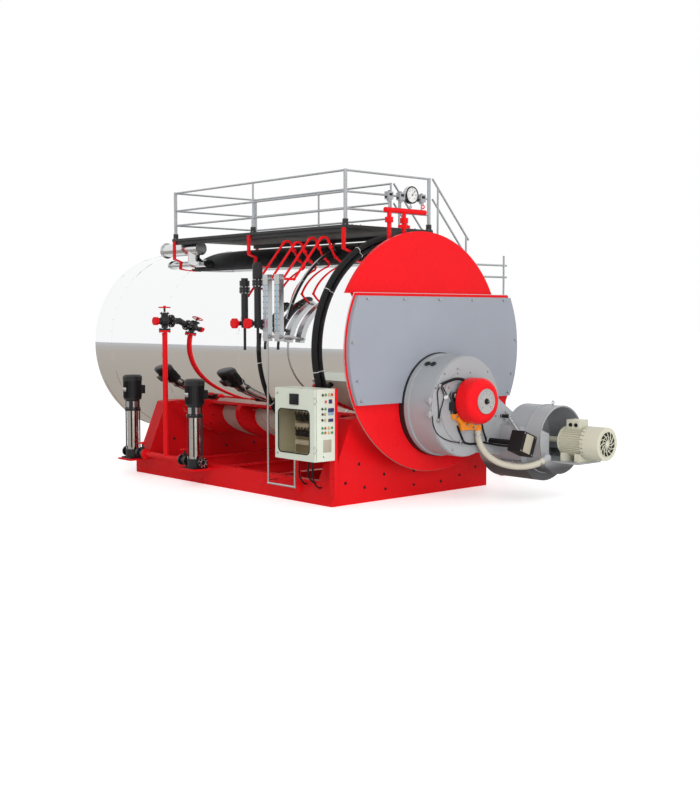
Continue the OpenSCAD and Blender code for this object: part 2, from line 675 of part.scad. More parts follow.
// Level chambers and gauge glasses on the shell's left side
level_x = -shell_r - 200;
chamber_y = [-836, -1172];
glass_y = [-1420, -1703];
level_z0 = axis_z + 320;
chamber_d = 110;
chamber_h = [656, 760];
cap_d = 160;
cap_h = [125, 262];
inlet_up = 70;
blow_l = 350;
knob_out = 170;
module level_chambers() color(black) for (i = [0, 1]) {
  y = chamber_y[i];
  z = level_z0 + chamber_h[i];
  upright(level_x, y, level_z0, chamber_d, chamber_h[i]);
  upright(level_x, y, level_z0 - blow_l, 44, blow_l + 1);
  for (k = [60, 104]) upright(level_x, y, z - k, cap_d + 8, 38);
  upright(level_x, y, z - 1, cap_d, cap_h[i] - 40);
  upright(level_x, y, z + cap_h[i] - 42, cap_d - 50, 40);
  along_x(level_x - knob_out, y, level_z0 + inlet_up, 70, knob_out + 1);
  difference() {
    along_x(level_x, y, level_z0 + inlet_up, 70, shell_r / 2);
    shell_core();
  }
  along_x(level_x + 90, y, level_z0 + inlet_up, 130, 40);
}
glass_b = 90;
glass_w = 120;
glass_z = axis_z + 120;
glass_h = 1020;
cock_d = 64;
module gauge_glasses() color(steel) for (y = glass_y) {
  translate([level_x - glass_b / 2, y - glass_w / 2, glass_z]) cube([glass_b, glass_w, glass_h]);
  for (z = [inlet_up, glass_h - inlet_up]) along_y(level_x, y - glass_w / 2 - 30, glass_z + z, cock_d, glass_w + 60);
  difference() {
    along_x(level_x, y, glass_z + inlet_up, 50, shell_r / 2);
    shell_core();
  }
}
// Steam-side tubes: level from each device, sloping up past the shell's flank, hooked over and down into it under the deck
tube_d = 38;
tube_y = concat(chamber_y, glass_y);
tube_z = [for (i = [0:3]) i < 2 ? level_z0 + chamber_h[i] - 150 : glass_z + glass_h - inlet_up];
tube_end = [119.6, 121.5, 118.2, 118.2];
tube_hook = 100;
tube_up = 215;
lean = 50;
nut_l = 50;
nut_w = 12;
turn = [for (a = tube_end) 180 + lean - a];
module impulse_tubes() color(red) for (i = [0:3]) difference() {
  er = [cos(tube_end[i]), 0, sin(tube_end[i])];
  et = [-sin(tube_end[i]), 0, cos(tube_end[i])];
  o = [0, tube_y[i], axis_z];
  c = o + (shell_r + tube_up) * er + tube_hook * et;
  a = c + tube_hook * (er * sin(turn[i]) - et * cos(turn[i]));
  b = [a[0] - (a[2] - tube_z[i]) / tan(lean), tube_y[i], tube_z[i]];
  way = [cos(lean), 0, sin(lean)];
  union() {
    bar(o + (shell_r - tube_hook) * er, o + (shell_r + tube_up - 4) * er, tube_d);
    bar(o + (shell_r + tube_up - nut_l / 2) * er, o + (shell_r + tube_up + nut_l / 2) * er, tube_d + nut_w);
    ball(o + (shell_r + 100) * er, 1.9 * tube_d);
    translate(c) rotate([90, 0, 0]) rotate_extrude(angle = turn[i], start = tube_end[i] - 90, $fn = 128) translate([tube_hook, 0]) circle(d = tube_d, $fn = 48);
    bar(b, a - 4 * way, tube_d);
    bar(a - nut_l / 2 * way, a + nut_l / 2 * way, tube_d + nut_w);
    ball(b, tube_d + nut_w);
    along_x(level_x, tube_y[i], tube_z[i], tube_d, b[0] - level_x);
  }
  shell_core();
  if (i < 2) upright(level_x, tube_y[i], level_z0, chamber_d + 1.6, glass_h);
  else {
    translate([level_x - glass_b, tube_y[i] - glass_w / 2, glass_z]) cube([1.5 * glass_b, glass_w, glass_h]);
    along_y(level_x, tube_y[i] - glass_w, tube_z[i], cock_d + 1.6, 2 * glass_w);
  }
}
drain_d = 34;
drain_z = 250;
drain_l = 650;
module drain_pipes() color(steel) {
  upright(level_x, glass_y[0], drain_z, drain_d, glass_z - drain_z);
  along_y(level_x, glass_y[0] - drain_l, drain_z, drain_d, drain_l);
  upright(level_x, glass_y[0] - drain_l, drain_z, drain_d, cab_z - drain_z);
  for (y = [0, drain_l]) ball([level_x, glass_y[0] - y, drain_z], drain_d + 10);
  translate([level_x, glass_y[0] - 20, drain_z + 40]) cube([-half_w - level_x, 40, 20]);
}
// Red hand wheels: level valves, feed valve and pump valves
wheel_t = 22;
module wheel(d, hub, l) {
  rotate_extrude($fn = 64) translate([d / 2 - wheel_t / 2, wheel_t / 2]) circle(d = wheel_t, $fn = 24);
  cylinder(d = hub, h = l, $fn = 32);
  for (a = [0:90:270]) rotate([0, 90, a]) translate([-wheel_t / 2, 0, hub / 4]) cylinder(d = wheel_t / 2, h = d / 2 - wheel_t / 2 - hub / 4, $fn = 16);
}
// A solid knob with finger hollows round its edge
module knob(d, l) linear_extrude(height = l) difference() {
  circle(d = d, $fn = 64);
  for (a = [0:45:315]) rotate(a) translate([d * 0.55, 0]) circle(d = d / 5, $fn = 24);
}
module valve_wheels() color(red) {
  for (y = chamber_y) translate([level_x - knob_out, y, level_z0 + inlet_up]) rotate([0, -90, 0]) knob(160, 60);
  translate([pump_x, riser_y, valve_z + 222]) wheel(210, 50, 40);
  translate([pump_x - 150, riser_y, valve_z]) rotate([0, -90, 0]) cylinder(d = 140, h = 60, $fn = 64);
  for (y = stem_y) translate([pump_x, y, port_z + stem_h]) wheel(150, 40, 34);
}
// Cable bundle strapped round the shell, then down into the cabinet's top
bundle_y = -2350;
bundle_d = 90;
// Air between a strapped cable and the polished sheet
strap_gap = 0.8;
bundle_r = shell_r + bundle_d / 2 + strap_gap;
bundle_end = 201.5;
function round_shell(r, a) = [r * cos(a), 0, axis_z + r * sin(a)];
// A cable bent round the shell between two angles at one place along it
module shell_cable(y, d, a0, a1) translate([0, y, axis_z]) rotate([90, 0, 0])
  rotate_extrude(angle = a1 - a0, start = a0, $fn = 360) translate([shell_r + d / 2 + strap_gap, 0]) circle(d = d, $fn = 48);
probe_y = -930;
probe_d = 40;
module conduit_bundle() color(black) {
  p = round_shell(bundle_r, bundle_end) + [0, bundle_y, 0];
  shell_cable(bundle_y, bundle_d, 92, bundle_end);
  difference() {
    ball(p, bundle_d + 14);
    along_y(0, bundle_y - bundle_d, axis_z, shell_d + 2 * strap_gap, 2 * bundle_d);
  }
  bar(p, [cab_x1 + strap_gap, p[1], p[2]], bundle_d);
  shell_cable(probe_y, probe_d, 172, 232);
}

// Control cabinet with a hinged, glazed door facing the skid's left side
post_b = 60;
cab_x1 = -half_w - post_b;
cab_x0 = cab_x1 - cab_d;
cab_y0 = -cab_y - cab_w;
door_t = 24;
door_gap = 12;
door_x = cab_x0 - door_gap - door_t;
hinge_x = door_x + door_t / 2;
hinge_in = 14;
hinge_y = cab_y0 + hinge_in;
pin_d = 12;
pin_gap = 0.8;
pin_l = 60;
lug_h = 14;
lug_gap = 6;
win_y = -cab_y - 79 - win_w;
win_z = cab_z + 99;
win_r = 70;
hinge_z = [cab_z + 140, cab_z + cab_h - 200];
module cabinet_box() color(pale) {
  difference() {
    translate([cab_x0, cab_y0, cab_z]) cube([cab_d, cab_w, cab_h]);
    translate([cab_x0 - 1, cab_y0 + cab_t, cab_z + cab_t]) cube([cab_d - cab_t + 1, cab_w - 2 * cab_t, cab_h - 2 * cab_t]);
  }
  for (z = hinge_z) {
    translate([hinge_x, hinge_y, z]) cylinder(d = pin_d, h = pin_l, $fn = 32);
    for (k = [-lug_h, pin_l]) translate([hinge_x - 8, cab_y0 - 10, z + k]) cube([cab_x0 - hinge_x + 28, 32, lug_h]);
    translate([cab_x0, cab_y0 - 10, z - lug_h]) cube([20, 10, pin_l + 2 * lug_h]);
  }
}
module window_profile() {
  translate([win_r, 0]) square([win_w - 2 * win_r, win_h]);
  translate([0, win_r]) square([win_w, win_h - 2 * win_r]);
  for (y = [win_r, win_w - win_r], z = [win_r, win_h - win_r]) translate([y, z]) circle(r = win_r, $fn = 64);
}
module in_door(x, l) translate([x, win_y, win_z]) rotate([90, 0, 90]) linear_extrude(height = l) window_profile();
module cabinet_door() color(pale) difference() {
  translate([door_x, cab_y0, cab_z]) cube([door_t, cab_w, cab_h]);
  in_door(door_x - 1, door_t + 2);
  for (z = hinge_z) {
    translate([hinge_x, hinge_y, z - pin_l / 2]) cylinder(d = pin_d + pin_gap, h = 2 * pin_l, $fn = 32);
    for (k = [-lug_h - lug_gap, pin_l - lug_gap]) translate([door_x - 1, cab_y0 - 1, z + k]) cube([door_t + 2, 34, lug_h + 2 * lug_gap]);
  }
}
glass_t = 6;
module cabinet_window() color([0.6, 0.62, 0.55, 0.5]) in_door(door_x + 8, glass_t);
// Mounting plate with two rows of breakers, a wiring duct and a controller
gear_t = 20;
row_h = 90;
module cabinet_gear() color(grey) {
  x = cab_x1 - cab_t - gear_t;
  translate([x, cab_y0 + 60, cab_z + 60]) cube([gear_t, cab_w - 120, cab_h - 120]);
  for (r = [0.3, 0.52], i = [0:6]) translate([x - 80, cab_y0 + 130 + i * (cab_w - 260) / 7, cab_z + r * cab_h]) cube([81, (cab_w - 260) / 7 - 18, row_h]);
  for (r = [0.18, 0.42, 0.64]) translate([x - 60, cab_y0 + 110, cab_z + r * cab_h]) cube([61, cab_w - 220, 60]);
  translate([x - 120, cab_y0 + 200, cab_z + 0.75 * cab_h]) cube([121, 260, 150]);
  translate([x - 90, cab_y0 + 540, cab_z + 0.75 * cab_h]) cube([91, 200, 120]);
}
stand_z = 150;
module cabinet_stand() color(red) for (y = [cab_y0 + 60, -cab_y - post_b]) translate([cab_x1, y, stand_z]) cube([post_b, post_b, cab_z + cab_h - stand_z - 100]);
// Cables hanging from the cabinet's underside to the left beam, from the beam's face and the cabinet's underside
cable_d = 26;
cable_routes = [
  [[-300, -2640, 0], [-300, -2640, -50], [-295, -2630, -110], [-280, -2610, -180], [-250, -2580, -250], [-205, -2545, -320], [-150, -2515, -380], [-90, -2490, -425], [-45, -2480, -450], [0, -2480, -450]],
  [[-240, -2480, 0], [-240, -2480, -50], [-240, -2470, -100], [-230, -2450, -160], [-205, -2420, -220], [-165, -2390, -280], [-115, -2365, -330], [-60, -2350, -370], [-35, -2345, -385], [0, -2345, -385]],
  [[-270, -2300, 0], [-270, -2300, -45], [-265, -2290, -105], [-250, -2265, -175], [-220, -2230, -245], [-175, -2195, -310], [-120, -2170, -365], [-65, -2150, -405], [-35, -2145, -425], [0, -2145, -425]]];
module cabinet_cables() color(black) for (r = cable_routes) tube_path([for (p = r) p + [-half_w, 0, cab_z]], cable_d, 10);

// Vertical multistage feed pumps on brackets outside the left beam
bracket_t = 30;
foot_b = 300;
base_h = 160;
base_d = 260;
stay_r = 122;
stay_d = 20;
suction_d = 80;
// Depth of the plug in an unused suction port
plug_in = 20;
module pump_brackets() color(red) for (y = [pump_y1, pump_y2]) {
  translate([pump_x - foot_b / 2 - 40, y - foot_b / 2 - 60, pump_z - bracket_t]) cube([foot_b / 2 + 40 + pump_out, foot_b + 120, bracket_t]);
}
module pump_bases() color(black) for (y = [pump_y1, pump_y2]) difference() {
  union() {
    translate([pump_x - foot_b / 2, y - foot_b / 2, pump_z]) cube([foot_b, foot_b, 24]);
    upright(pump_x, y, pump_z, base_d, base_h);
    along_y(pump_x, y - port_l, port_z, 100, 2 * port_l);
    for (k = [-port_l, port_l - ring_t]) along_y(pump_x, y + k, port_z, 2 * pipe_d, ring_t);
  }
  along_y(pump_x, y > riser_y ? y + port_l - plug_in : y - port_l - 1, port_z, suction_d, plug_in + 1);
}
lantern_l = 230;
lantern_d = 250;
sleeve_z = pump_z + base_h;
motor_z = sleeve_z + sleeve_l;
module pump_sleeves() color(steel) for (y = [pump_y1, pump_y2]) {
  upright(pump_x, y, sleeve_z, sleeve_d, sleeve_l);
  for (a = [45:90:315]) upright(pump_x + stay_r * cos(a), y + stay_r * sin(a), sleeve_z, stay_d, sleeve_l);
}
pfins = 32;
module pump_motors() color(black) for (y = [pump_y1, pump_y2]) translate([pump_x, y, motor_z]) {
  cylinder(d = lantern_d + 30, h = 40, $fn = 64);
  difference() {
    translate([0, 0, 39]) cylinder(d = lantern_d, h = lantern_l - 70, $fn = 64);
    for (a = [0, 90]) rotate(a) translate([-lantern_d, -60, 60]) cube([2 * lantern_d, 120, lantern_l - 120]);
  }
  translate([0, 0, 20]) cylinder(d = 70, h = lantern_l - 20, $fn = 48);
  translate([0, 0, lantern_l - 32]) cylinder(d = lantern_d + 60, h = 33, $fn = 64);
  translate([0, 0, lantern_l]) linear_extrude(height = pmotor_l) {
    circle(d = pmotor_d - 50, $fn = 96);
    for (i = [0:pfins - 1]) rotate(i * 360 / pfins) translate([0, -4]) square([pmotor_d / 2 - 6, 8]);
  }
  translate([0, 0, lantern_l + pmotor_l - 1]) rotate_extrude($fn = 96) polygon([[0, 0], [pmotor_d / 2, 0], [pmotor_d / 2, 80], [pmotor_d / 2 - 30, 110], [0, 120]]);
  translate([45, -80, lantern_l + 70]) cube([pmotor_d / 2, 160, 150]);
}
stem_y = [pump_y1 - port_l - body_l / 2, pump_y2 + port_l + body_l / 2];
stem_h = 170;
module pump_valves() color(black) for (y = stem_y) {
  for (k = [-body_l / 2, body_l / 2 - ring_t]) along_y(pump_x, y + k, port_z, 2 * pipe_d, ring_t);
  along_y(pump_x, y - body_l / 2 + 5, port_z, 120, body_l - 10);
  upright(pump_x, y, port_z, 80, 110);
  upright(pump_x, y, port_z, 30, stem_h);
}

// A round tube of n sides through the listed points
function unit(v) = v / norm(v);
function path_dir(p, i) = i == 0 ? unit(p[1] - p[0]) : i == len(p) - 1 ? unit(p[i] - p[i - 1]) : unit(unit(p[i + 1] - p[i]) + unit(p[i] - p[i - 1]));
module tube_path(p, d, n) {
  m = len(p);
  pts = [for (i = [0:m - 1]) let (t = path_dir(p, i), a = unit(cross(t, [0.9, 0.5, 0.2])), b = cross(t, a)) for (k = [0:n - 1]) p[i] + d / 2 * (cos(360 * k / n) * a + sin(360 * k / n) * b)];
  faces = concat([[for (k = [0:n - 1]) k]], [for (i = [0:m - 2], k = [0:n - 1]) [i * n + k, (i + 1) * n + k, (i + 1) * n + (k + 1) % n, i * n + (k + 1) % n]], [[for (k = [n - 1:-1:0]) (m - 1) * n + k]]);
  polyhedron(points = pts, faces = faces, convexity = 4);
}

side_beams();
cross_members();
front_saddle();
rear_saddle();
boiler_shell();
rear_end_plate();
rear_fittings();
front_tube_plate();
front_smokebox();
smokebox_flange();
front_panel();
burner_ring();
burner_casing();
burner_face_plate();
burner_head_body();
burner_head_cover();
burner_dial();
gas_valve_arm();
burner_hose();
air_duct();
fan_housing();
motor_shelf();
motor_body();
motor_cowl();
damper_actuator();
platform_deck();
deck_beams();
deck_brackets();
side_railings();
end_railings();
post_shoes();
stair_stringers();
stair_treads();
stair_handrails();
landing_railings();
landing_legs();
steam_outlet();
steam_header();
pressure_gauge();
pressure_switches();
feed_riser();
feed_valve();
level_chambers();
gauge_glasses();
impulse_tubes();
drain_pipes();
valve_wheels();
conduit_bundle();
cabinet_box();
cabinet_door();
cabinet_window();
cabinet_gear();
cabinet_stand();
cabinet_cables();
pump_brackets();
pump_bases();
pump_sleeves();
pump_motors();
pump_valves();
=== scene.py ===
import math

import bmesh
import bpy
from mathutils import Matrix, Vector


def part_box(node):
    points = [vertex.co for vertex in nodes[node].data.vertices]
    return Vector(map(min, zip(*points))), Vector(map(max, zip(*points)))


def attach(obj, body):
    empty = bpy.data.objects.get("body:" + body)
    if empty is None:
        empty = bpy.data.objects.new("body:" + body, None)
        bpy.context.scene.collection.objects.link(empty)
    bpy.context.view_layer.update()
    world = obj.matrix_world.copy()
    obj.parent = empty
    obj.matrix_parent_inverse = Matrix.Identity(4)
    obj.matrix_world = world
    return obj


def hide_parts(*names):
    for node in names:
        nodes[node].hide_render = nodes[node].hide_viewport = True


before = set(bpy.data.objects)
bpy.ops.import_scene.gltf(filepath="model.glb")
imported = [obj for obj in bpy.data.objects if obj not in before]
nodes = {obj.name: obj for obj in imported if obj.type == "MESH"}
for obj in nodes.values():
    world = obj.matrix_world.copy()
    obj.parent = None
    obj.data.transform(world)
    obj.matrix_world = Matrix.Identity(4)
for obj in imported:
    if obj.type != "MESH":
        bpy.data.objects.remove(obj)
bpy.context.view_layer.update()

# Camera
# A long view from ahead of the boiler's left front corner, a little above the shell's axis.
# The place and lens come from lines of the skid, shell and railing.
camera = bpy.data.objects.new("camera", bpy.data.cameras.new("camera"))
camera.location = (-13.02, -15.675, 2.832)
camera.rotation_euler = (math.radians(90 - 4.10), 0, math.radians(-41.98))
camera.data.lens = 52.58
camera.data.sensor_width = 36
camera.data.clip_end = 400
bpy.context.collection.objects.link(camera)
bpy.context.scene.camera = camera
bpy.context.scene.view_settings.view_transform = "Standard"


# Skid and saddles
# Channel beams, cross members and the two holed saddle plates, welded up from
# steel plate and sprayed in gloss red. Black plugs fill the holes as painted shade for the dark seen through
# them.
class Wire:
    """A shader socket that takes Python's operators."""

    def __init__(self, finish, socket):
        self.finish, self.socket = finish, socket

    def maths(self, operation, *values):
        return self.finish.node("ShaderNodeMath", {"operation": operation}, *values)

    def __add__(self, other):
        return self.maths("ADD", self, other)

    def __sub__(self, other):
        return self.maths("SUBTRACT", self, other)

    def __rsub__(self, other):
        return self.maths("SUBTRACT", other, self)

    def __mul__(self, other):
        return self.maths("MULTIPLY", self, other)

    def __gt__(self, other):
        return self.maths("GREATER_THAN", self, other)

    def __lt__(self, other):
        return self.maths("LESS_THAN", self, other)

    __radd__, __rmul__ = __add__, __mul__


class Finish:
    """A material with one Principled shader, and the slot of the pieces made in it."""

    def __init__(self, name, colour, roughness, slot=None, **sockets):
        self.slot = slot
        self.material = bpy.data.materials.new(name)
        self.material.use_nodes = True
        self.tree = self.material.node_tree
        self.shader = self.tree.nodes["Principled BSDF"]
        self.feed(**{"Base Color": (*colour, 1), "Roughness": roughness}, **sockets)

    def plug(self, socket, value):
        if isinstance(value, Wire):
            self.tree.links.new(value.socket, socket)
        elif value is not None:
            socket.default_value = value

    def feed(self, **sockets):
        for name, value in sockets.items():
            self.plug(self.shader.inputs[name.replace("_", " ")], value)
        return self

    def node(self, kind, settings, *values, out=0, **named):
        made = self.tree.nodes.new(kind)
        for name, value in settings.items():
            setattr(made, name, value)
        for place, value in list(enumerate(values)) + list(named.items()):
            self.plug(made.inputs[place.replace("_", " ") if isinstance(place, str) else place], value)
        return Wire(self, made.outputs[out])

    def place(self):
        return self.node("ShaderNodeTexCoord", {}, out="Object")

    def noise(self, scale, detail=3.0, where=None):
        return self.node("ShaderNodeTexNoise", {}, Vector=where or self.place(), Scale=scale, Detail=detail)

    def mix(self, share, first, second):
        made = self.tree.nodes.new("ShaderNodeMix")
        made.data_type = "RGBA"
        for place, value in ((0, share), (6, first), (7, second)):
            is_colour = isinstance(value, tuple) and len(value) == 3
            self.plug(made.inputs[place], (*value, 1) if is_colour else value)
        return Wire(self, made.outputs[2])

    def bump(self, height, strength, depth):
        return self.node("ShaderNodeBump", {}, Height=height, Strength=strength, Distance=depth)

    def coat(self, *names):
        for name in names:
            slots = nodes[name].data.materials
            slots.clear()
            slots.append(self.material)
        return self


def painted(name, colour, roughness, shade=0.86, grain=60.0, depth=0.0006, **sockets):
    """Sprayed paint: faint clouds of colour and gloss, and orange peel or casting grain."""
    finish = Finish(name, colour, roughness, **sockets)
    clouds = finish.noise(1.3, 4.0)
    darker = tuple(c * shade for c in colour)
    finish.feed(**{
        "Base Color": finish.mix(clouds, darker, colour),
        "Roughness": clouds * (0.5 * roughness) + 0.75 * roughness,
        "Normal": finish.bump(finish.noise(grain, 1.0), 0.12, depth),
    })
    return finish


RED = (0.82, 0.010, 0.015)
red_paint = painted("red_gloss_paint", RED, 0.28, 0.94, Specular_IOR_Level=0.1, slot="red_paint")
red_paint.coat("side_beams", "cross_members", "front_saddle", "rear_saddle")
plastic = painted("black_plastic", (0.010, 0.010, 0.011), 0.5, Specular_IOR_Level=0.25, slot="black_plastic")


def turns(count, first=0.0):
    """Angles in even steps round a circle, in radians."""
    return [first + 2 * math.pi * k / count for k in range(count)]


class Stock:
    """Shapes gathered into one mesh piece, in metres in the frame."""

    def __init__(self):
        self.mesh = bmesh.new()

    def facing(self, at, along):
        along = Vector(along).normalized()
        return Matrix.Translation(at) @ along.to_track_quat("Z", "Y").to_matrix().to_4x4()

    def loop(self, points):
        return [self.mesh.verts.new(point) for point in points]

    def turned(self, at, along, profile, sides=24):
        """A turned shape: profile gives (distance along the axis, radius)."""
        facing = self.facing(at, along)
        rings = []
        for reach, radius in profile:
            angles = turns(sides) if radius > 1e-6 else [0.0]
            spots = [Vector((radius * math.cos(t), radius * math.sin(t), reach)) for t in angles]
            rings.append(self.loop(facing @ spot for spot in spots))
        for low, high in zip(rings, rings[1:]):
            for k in range(sides):
                corners = []
                for ring, n in ((low, k), (low, k + 1), (high, k + 1), (high, k)):
                    vert = ring[n % len(ring)]
                    if vert not in corners:
                        corners.append(vert)
                if len(corners) > 2:
                    self.mesh.faces.new(corners)
        return self

    def capped(self, at, along, profile, sides=24):
        """A turned shape closed by a flat face at each end."""
        return self.turned(at, along, [(profile[0][0], 0), *profile, (profile[-1][0], 0)], sides)

    def hoop(self, at, along, inner, outer, width, sides, closed=False):
        """A flat band round an axis, open on its inside unless closed."""
        profile = [(0, inner), (0, outer), (width, outer), (width, inner)]
        return self.turned(at, along, profile + profile[:1] if closed else profile, sides)

    def rod(self, start, end, radius, sides=16):
        span = Vector(end) - Vector(start)
        return self.capped(start, span, [(0, radius), (span.length, radius)], sides)

    def ring(self, at, along, radius, thick, sides=48, around=10):
        """A round ring about an axis."""
        facing = self.facing(at, along)
        loops = []
        for t in turns(sides):
            spots = []
            for a in turns(around):
                reach = radius + thick * math.cos(a)
                spots.append(Vector((reach * math.cos(t), reach * math.sin(t), thick * math.sin(a))))
            loops.append(self.loop(facing @ spot for spot in spots))
        for k, here in enumerate(loops):
            beyond = loops[(k + 1) % sides]
            for j in range(around):
                after = (j + 1) % around
                self.mesh.faces.new((here[j], beyond[j], beyond[after], here[after]))
        return self

    def box(self, centre, size, turn=None, bevel=0.0):
        made = bmesh.ops.create_cube(self.mesh, size=1.0)["verts"]
        matrix = Matrix.Translation(centre) @ (turn or Matrix.Identity(4)) @ Matrix.Diagonal((*size, 1))
        bmesh.ops.transform(self.mesh, matrix=matrix, verts=made)
        if bevel:
            edges = list({e for v in made for e in v.link_edges})
            bmesh.ops.bevel(self.mesh, geom=edges, offset=bevel, segments=2, affect="EDGES", profile=0.5)
        return self

    def sweep(self, points, radius, sides=10):
        """A round tube through points, closed at its ends. Radius may be a list."""
        points = [Vector(p) for p in points]
        radii = radius if isinstance(radius, list) else [radius] * len(points)
        loops, side = [], None
        for i, point in enumerate(points):
            ahead = (points[min(i + 1, len(points) - 1)] - points[max(i - 1, 0)]).normalized()
            side = ahead.orthogonal() if side is None else side - ahead * side.dot(ahead)
            side.normalize()
            up = ahead.cross(side)
            out = [math.cos(a) * side + math.sin(a) * up for a in turns(sides)]
            loops.append(self.loop(point + radii[i] * way for way in out))
        for low, high in zip(loops, loops[1:]):
            for k in range(sides):
                self.mesh.faces.new((low[k], low[(k + 1) % sides], high[(k + 1) % sides], high[k]))
        self.mesh.faces.new(loops[0][::-1])
        self.mesh.faces.new(loops[-1])
        return self

    def bolt(self, at, along, across):
        """A hexagon head on a washer."""
        washer = [(-0.002, 0.72 * across), (0.12 * across, 0.72 * across)]
        head = [(0.1 * across, 0.56 * across), (0.68 * across, 0.56 * across), (0.76 * across, 0.44 * across)]
        return self.capped(at, along, washer, 20).capped(at, along, head, 6)

    def bolts(self, centre, along, reach, count, across, first=0.0):
        """Bolt heads in a circle about an axis."""
        facing = self.facing(centre, along)
        for t in turns(count, math.radians(first)):
            self.bolt(facing @ Vector((reach * math.cos(t), reach * math.sin(t), 0)), along, across)
        return self

    def studs(self, centre, along, reach, count, length, thick):
        """Studs through a pair of flanges, with a nut at each end."""
        along = Vector(along).normalized()
        facing = self.facing(centre, along)
        for t in turns(count, math.pi / count):
            middle = facing @ Vector((reach * math.cos(t), reach * math.sin(t), 0))
            self.rod(middle - along * length / 2, middle + along * length / 2, thick, 10)
            for end in (-1, 1):
                nut = middle + along * end * (length / 2 - 2.4 * thick)
                self.capped(nut, along * end, [(0, 1.9 * thick), (1.6 * thick, 1.9 * thick)], 6)
        return self

    def dome(self, at, along, radius, height, sides=12):
        """The round head of a rivet or screw."""
        head = [(-0.002, radius), (0.5 * height, 0.86 * radius), (height, 0.35 * radius)]
        return self.capped(at, along, head, sides)

    def make(self, name, finish, body="boiler", smooth=30):
        mesh = bpy.data.meshes.new(name)
        bmesh.ops.recalc_face_normals(self.mesh, faces=self.mesh.faces)
        self.mesh.to_mesh(mesh)
        self.mesh.free()
        made = bpy.data.objects.new(name, mesh)
        bpy.context.collection.objects.link(made)
        mesh.materials.append(finish.material)
        if smooth:
            for polygon in mesh.polygons:
                polygon.use_smooth = True
            mesh.set_sharp_from_angle(angle=math.radians(smooth))
        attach(made, body)
        return made


def both_sides(places):
    """Places (x, z) and their mirror images across the middle."""
    return [(side * x, z) for x, z in places for side in ((1, -1) if x else (1,))]


SADDLE_HOLES = [(0, 0.175), (0.62, 0.172), (1.06, 0.235), (1.45, 0.335),
                (0, 0.397), (0.65, 0.402), (1.175, 0.602)]
BACK = (0, 1, 0)
HOLE_SHADE_FILL = [(0, 0.018), (0.004, 0.0243), (0.034, 0.0243)]
# Black plugs in the saddle holes are painted shade: they stand for the dark seen through the holes.
hole_shade_fill = Stock()
for saddle in ("front_saddle", "rear_saddle"):
    plate_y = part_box(saddle)[0][1]
    for x, z in both_sides(SADDLE_HOLES):
        hole_shade_fill.capped((x, plate_y - 0.006, z), BACK, HOLE_SHADE_FILL)
hole_shade_fill.make("saddle_hole_shade_fill", plastic)

# Boiler shell
# Insulated pressure shell under mirror-polished stainless sheets, rolled and joined by
# narrow riveted bands. The smokebox body and the rear end have the same cladding.
mirror = Finish("mirror_stainless", (0.93, 0.935, 0.94), 0.035, Metallic=1.0, slot="mirror_cladding")
waves = mirror.node("ShaderNodeMapping", {}, Vector=mirror.place(), Scale=(1.0, 0.35, 1.0))
mirror.feed(
    Roughness=mirror.noise(4.0, 3.0) * 0.03 + 0.02,
    Normal=mirror.bump(mirror.noise(0.9, 1.5, waves), 0.2, 0.02),
)
mirror.coat("boiler_shell", "front_smokebox", "rear_end_plate")
shell_low, shell_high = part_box("boiler_shell")
SHELL_R = (shell_high[0] - shell_low[0]) / 2
AXIS_Z = (shell_high[2] + shell_low[2]) / 2


def on_shell(degrees, y, up=0.0):
    """A point over the shell's skin, with degrees from +X about its axis."""
    t = math.radians(degrees)
    return Vector(((SHELL_R + up) * math.cos(t), y, AXIS_Z + (SHELL_R + up) * math.sin(t)))


BAND_W, BAND_T, REAR_BAND_W = 0.06, 0.003, 0.082
BAND_INNER, BAND_OUTER = SHELL_R - 0.002, SHELL_R + BAND_T
bands, rivets = Stock(), Stock()
for band_y in (-0.35, 1.9, 3.6):
    bands.hoop((0, band_y - BAND_W / 2, AXIS_Z), BACK, BAND_INNER, BAND_OUTER, BAND_W, 180)
    for step in range(48):
        skin = on_shell(7.5 * step, band_y, BAND_T)
        out = skin - Vector((0, band_y, AXIS_Z))
        for row in (-0.019, 0.019):
            rivets.dome(skin + Vector((0, row, 0)), out, 0.006, 0.003, 8)
rear_band = [(0, BAND_INNER), (0, BAND_OUTER), (REAR_BAND_W, BAND_OUTER), (REAR_BAND_W, SHELL_R - 0.03)]
bands.turned((0, shell_high[1] - 0.02, AXIS_Z), BACK, rear_band, 180)
bands.make("cladding_bands", mirror)


def brushed(name, colour, roughness, grain=(90.0, 90.0, 4.0), slot=None):
    """Bare metal with fine drawn lines."""
    finish = Finish(name, colour, roughness, slot, Metallic=1.0)
    lines = finish.noise(3.0, 4.0, finish.node("ShaderNodeMapping", {}, Vector=finish.place(), Scale=grain))
    finish.feed(**{
        "Base Color": finish.mix(lines, tuple(0.8 * c for c in colour), colour),
        "Roughness": lines * (0.6 * roughness) + 0.7 * roughness,
        "Normal": finish.bump(lines, 0.1, 0.0004),
    })
    return finish


stainless = brushed("brushed_stainless", (0.62, 0.63, 0.64), 0.24, slot="stainless")
rivets.make("cladding_rivets", stainless)

# Rear fittings
# Red steel access door and flanged flue spigot on the rear end. Hexagon bolts hold the
# door, and two bent-rod handles lift it away.
red_paint.coat("rear_fittings")
rear_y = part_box("rear_end_plate")[1][1]
DOOR_Z, DOOR_R, DOOR_T = 1.48, 0.38, 0.06
door_bolts = Stock().bolts((0, rear_y + DOOR_T, DOOR_Z), BACK, DOOR_R - 0.035, 16, 0.03)
door_bolts.make("rear_door_bolts", stainless)
handles = Stock()
for side in (-1, 1):
    grip = [(side * 0.14, rear_y + DOOR_T + out, DOOR_Z + up) for out, up in
            ((-0.004, -0.09), (0.045, -0.09), (0.06, -0.075), (0.06, 0.075), (0.045, 0.09), (-0.004, 0.09))]
    handles.sweep(grip, 0.011, 12)
handles.make("rear_door_handles", red_paint, smooth=50)

